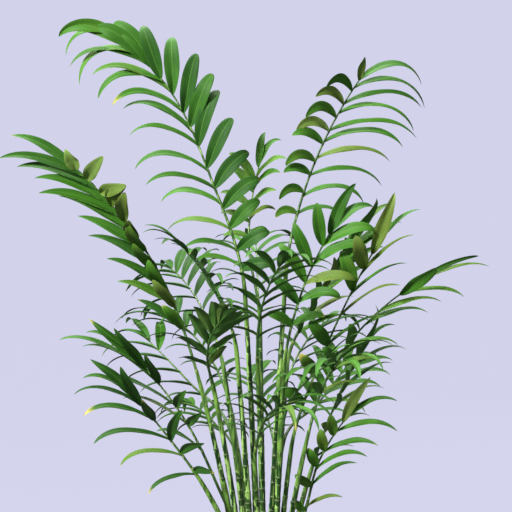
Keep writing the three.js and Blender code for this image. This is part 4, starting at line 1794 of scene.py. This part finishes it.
@dataclass(frozen=True)
class Grain:
    """One kind of grain that lies on the soil: its count, half-length, flatness, finish and seed."""

    name: str
    count: int
    size: Pair
    flat: Pair
    finish: EarthFinish
    seed: int
    sides: int = 9
    rings: int = 6
    end: float = 0.16
    slim: Pair = (0.5, 0.85)
    most_lean: float = 0.5
    rise: float = 0.35
    lump: float = 0.28
    lump_rate: float = 1.6
    lump_stray: float = 900
    crisp: float = 32


@dataclass(frozen=True)
class Soil:
    """The potting mix, with bark and a little perlite lying on it."""

    pot: Pot
    level: float = 0.215
    crown: float = 0.004
    crown_radius: float = 0.070
    gap: float = 0.0004
    around: int = 160
    rings: int = 64
    margin: float = 0.007
    lumps: tuple[Point, ...] = ((0.0011, 70, 0), (0.0007, 230, 0.3))
    lumps_settle: float = 6
    finish: EarthFinish = EarthFinish(
        "potting_mix", dark=(0.012, 0.008, 0.005), light=(0.065, 0.042, 0.026), lumps=420.0, depth=0.0012,
    )
    grains: tuple[Grain, ...] = (
        Grain("bark_crumbs", 260, size=(0.002, 0.0075), flat=(0.25, 0.5), seed=11, finish=EarthFinish(
            "bark_crumb", dark=(0.035, 0.017, 0.008), light=(0.14, 0.07, 0.032), lumps=380.0, depth=0.0006,
        )),
        Grain("perlite_grains", 46, size=(0.0012, 0.0026), flat=(0.7, 0.95), seed=12, finish=EarthFinish(
            "perlite_grain", dark=(0.42, 0.40, 0.36), light=(0.72, 0.71, 0.67), lumps=600.0, depth=0.0004,
        )),
    )

    def edge(self) -> float:
        """The radius at which the soil meets the pot."""
        return self.pot.inner_radius(self.level) - self.gap

    def surface(self, x: float, y: float) -> float:
        """The height of the soil's crumbly surface.

        Args:
            x: The place across.
            y: The place back.

        Returns:
            The height there.
        """
        radius = math.hypot(x, y)
        share = min(1.0, max(0.0, (self.edge() - radius) / (self.edge() - self.crown_radius)))
        lumps = sum(size * noise(Vector((x, y, layer)) * rate) for size, rate, layer in self.lumps)
        return self.level + self.crown * share + lumps * min(1.0, share * self.lumps_settle)

    def ground(self) -> None:
        """Builds the body of the soil."""
        low = self.pot.floor + self.gap
        profile = [(self.pot.centre, low), (self.pot.inner_radius(low) - self.gap, low)]
        for k in range(self.rings + 1):
            profile.append((mix(self.edge(), self.pot.centre, k / self.rings), self.level))
        rings = turned(profile, self.around)
        for row in rings[2:]:
            for place in row:
                place[2] = self.surface(place[0], place[1])
        skin = Skin()
        skin.loft(rings)
        skin.piece("potting_mix", self.finish.material(), "soil", ("soil",), ALL_SMOOTH)

    def crumb(self, grain: Grain, chance: random.Random) -> np.ndarray:
        """One lumpy grain that lies on the soil.

        Args:
            grain: Its kind.
            chance: The draws of its kind.

        Returns:
            Its rings.
        """
        radius = (self.edge() - self.margin) * math.sqrt(chance.random())
        way = chance.uniform(0, 2 * math.pi)
        x, y = radius * math.cos(way), radius * math.sin(way)
        half = mix(*grain.size, chance.random() ** 2)
        stretch = Vector((half, half * chance.uniform(*grain.slim), half * chance.uniform(*grain.flat)))
        axis = (chance.uniform(-1, 1), chance.uniform(-1, 1), 0)
        lean = Quaternion(axis, chance.uniform(0, grain.most_lean))
        lean = lean @ Quaternion(UP, chance.uniform(0, 2 * math.pi))
        centre = Vector((x, y, self.surface(x, y) + stretch.z * grain.rise))
        rings = []
        for tilt in np.linspace(grain.end, math.pi - grain.end, grain.rings)[::-1]:
            ring = []
            for turn in np.linspace(0, 2 * math.pi, grain.sides, endpoint=False):
                out = math.sin(tilt)
                ray = Vector((out * math.cos(turn), out * math.sin(turn), math.cos(tilt)))
                lump = 1 + grain.lump * noise(ray * grain.lump_rate + centre * grain.lump_stray)
                ring.append(centre + lean @ (ray * stretch * lump))
            rings.append(ring)
        return np.array(rings)

    def build(self) -> None:
        """Builds the soil, then strews the bark and the perlite over it."""
        self.ground()
        for grain in self.grains:
            chance = random.Random(grain.seed)
            skin = Skin()
            for _ in range(grain.count):
                skin.loft(self.crumb(grain, chance))
            skin.piece(grain.name, grain.finish.material(), "soil", (), grain.crisp)


# The studio


@dataclass(frozen=True)
class Lamp:
    """One soft square lamp."""

    name: str
    place: Point
    size: float
    power: float
    colour: Colour = (1, 1, 1)
    aim: Point = (0, 0, 0.8)

    def build(self) -> None:
        """Hangs the lamp and turns it to the plant."""
        light = bpy.data.lights.new(self.name, "AREA")
        light.size = self.size
        light.energy = self.power
        light.color = self.colour
        made = bpy.data.objects.new(self.name, light)
        made.location = self.place
        made.rotation_euler = (Vector(self.aim) - Vector(self.place)).to_track_quat("-Z", "Y").to_euler()
        bpy.context.scene.collection.objects.link(made)


@dataclass(frozen=True)
class Studio:
    """The pale backdrop, the lamps and the camera."""

    reach: float = 8.0
    height: float = 9.0
    sweep: float = 4.0
    board: float = 0.05
    board_round: float = 0.02
    centre: float = 0.01
    drop: float = 0.0005
    longest: float = 0.5
    around: int = 96
    camera_place: Point = (-0.012, -2.844, 0.833)
    lens: float = 100
    sensor: float = 36
    sky: Colour = (0.93, 0.96, 1.0)
    sky_strength: float = 0.25
    lamps: tuple[Lamp, ...] = (
        Lamp("key_lamp", (-2.7, -2.9, 2.6), 0.8, 450, (1.0, 0.99, 0.95)),
        Lamp("fill_lamp", (2.6, -3.2, 0.9), 2.4, 14),
        Lamp("top_lamp", (-0.8, 0.4, 4.2), 1.2, 240, (1.0, 0.99, 0.95)),
        Lamp("back_lamp", (1.9, 3.4, 2.2), 2.6, 120),
    )

    def backdrop(self) -> None:
        """Builds the floor and the wall all round it in one sweep."""
        outside = self.reach + self.board
        corners = [
            (self.centre, -self.board, 0),
            (outside, -self.board, self.board_round),
            (outside, self.height, self.board_round),
            (self.reach, self.height, self.board_round),
            (self.reach, -self.drop, self.sweep),
            (self.centre, -self.drop, 0),
        ]
        skin = Skin()
        skin.loft(turned(rounded(corners, self.longest), self.around))
        paper = skin.make("backdrop", BackdropFinish().material(), ALL_SMOOTH)
        paper.visible_shadow = False
        paper.visible_diffuse = False
        paper.visible_glossy = False

    def build(self) -> None:
        """Builds the backdrop, the light and the camera."""
        self.backdrop()
        for lamp in self.lamps:
            lamp.build()
        scene = bpy.context.scene
        scene.world = bpy.data.worlds.new("sky")
        scene.world.use_nodes = True
        background = scene.world.node_tree.nodes["Background"]
        background.inputs["Color"].default_value = (*self.sky, 1)
        background.inputs["Strength"].default_value = self.sky_strength
        lens = bpy.data.cameras.new("camera")
        lens.lens = self.lens
        lens.sensor_width = self.sensor
        camera = bpy.data.objects.new("camera", lens)
        camera.location = self.camera_place
        camera.rotation_euler = (math.pi / 2, 0, 0)
        scene.collection.objects.link(camera)
        scene.camera = camera
        scene.view_settings.view_transform = "Standard"


# The plant


@dataclass(frozen=True)
class Clump:
    """All canes and fronds of the plant."""

    canes: tuple[Cane, ...]
    fronds: tuple[Frond, ...]

    def build(self) -> None:
        """Builds the canes, then each frond with its sheath."""
        skin = Skin()
        for number, cane in enumerate(self.canes):
            cane.grow(skin, number)
        names = tuple(cane.name for cane in self.canes)
        skin.piece("canes", CaneFinish().material(), "cane", names, CRISP)
        by_name = {cane.name: cane for cane in self.canes}
        leaf = LeafFinish().material()
        stalk = RachisFinish().material()
        sheaths = Skin()
        for number, frond in enumerate(self.fronds):
            Growth(number, frond, by_name[frond.cane]).build(leaf, stalk, sheaths)
        sheaths.piece("leaf_sheaths", SheathFinish().material(), "frond", (), CRISP)


def main() -> None:
    """Builds the potted palm and the studio."""
    logging.basicConfig(level=logging.INFO, format="%(name)s: %(message)s")
    pot = Pot()
    pot.build()
    Soil(pot).build()
    Clump(CANES, FRONDS).build()
    Studio().build()
    log.info("the boxes are written")


if __name__ == "__main__":
    main()
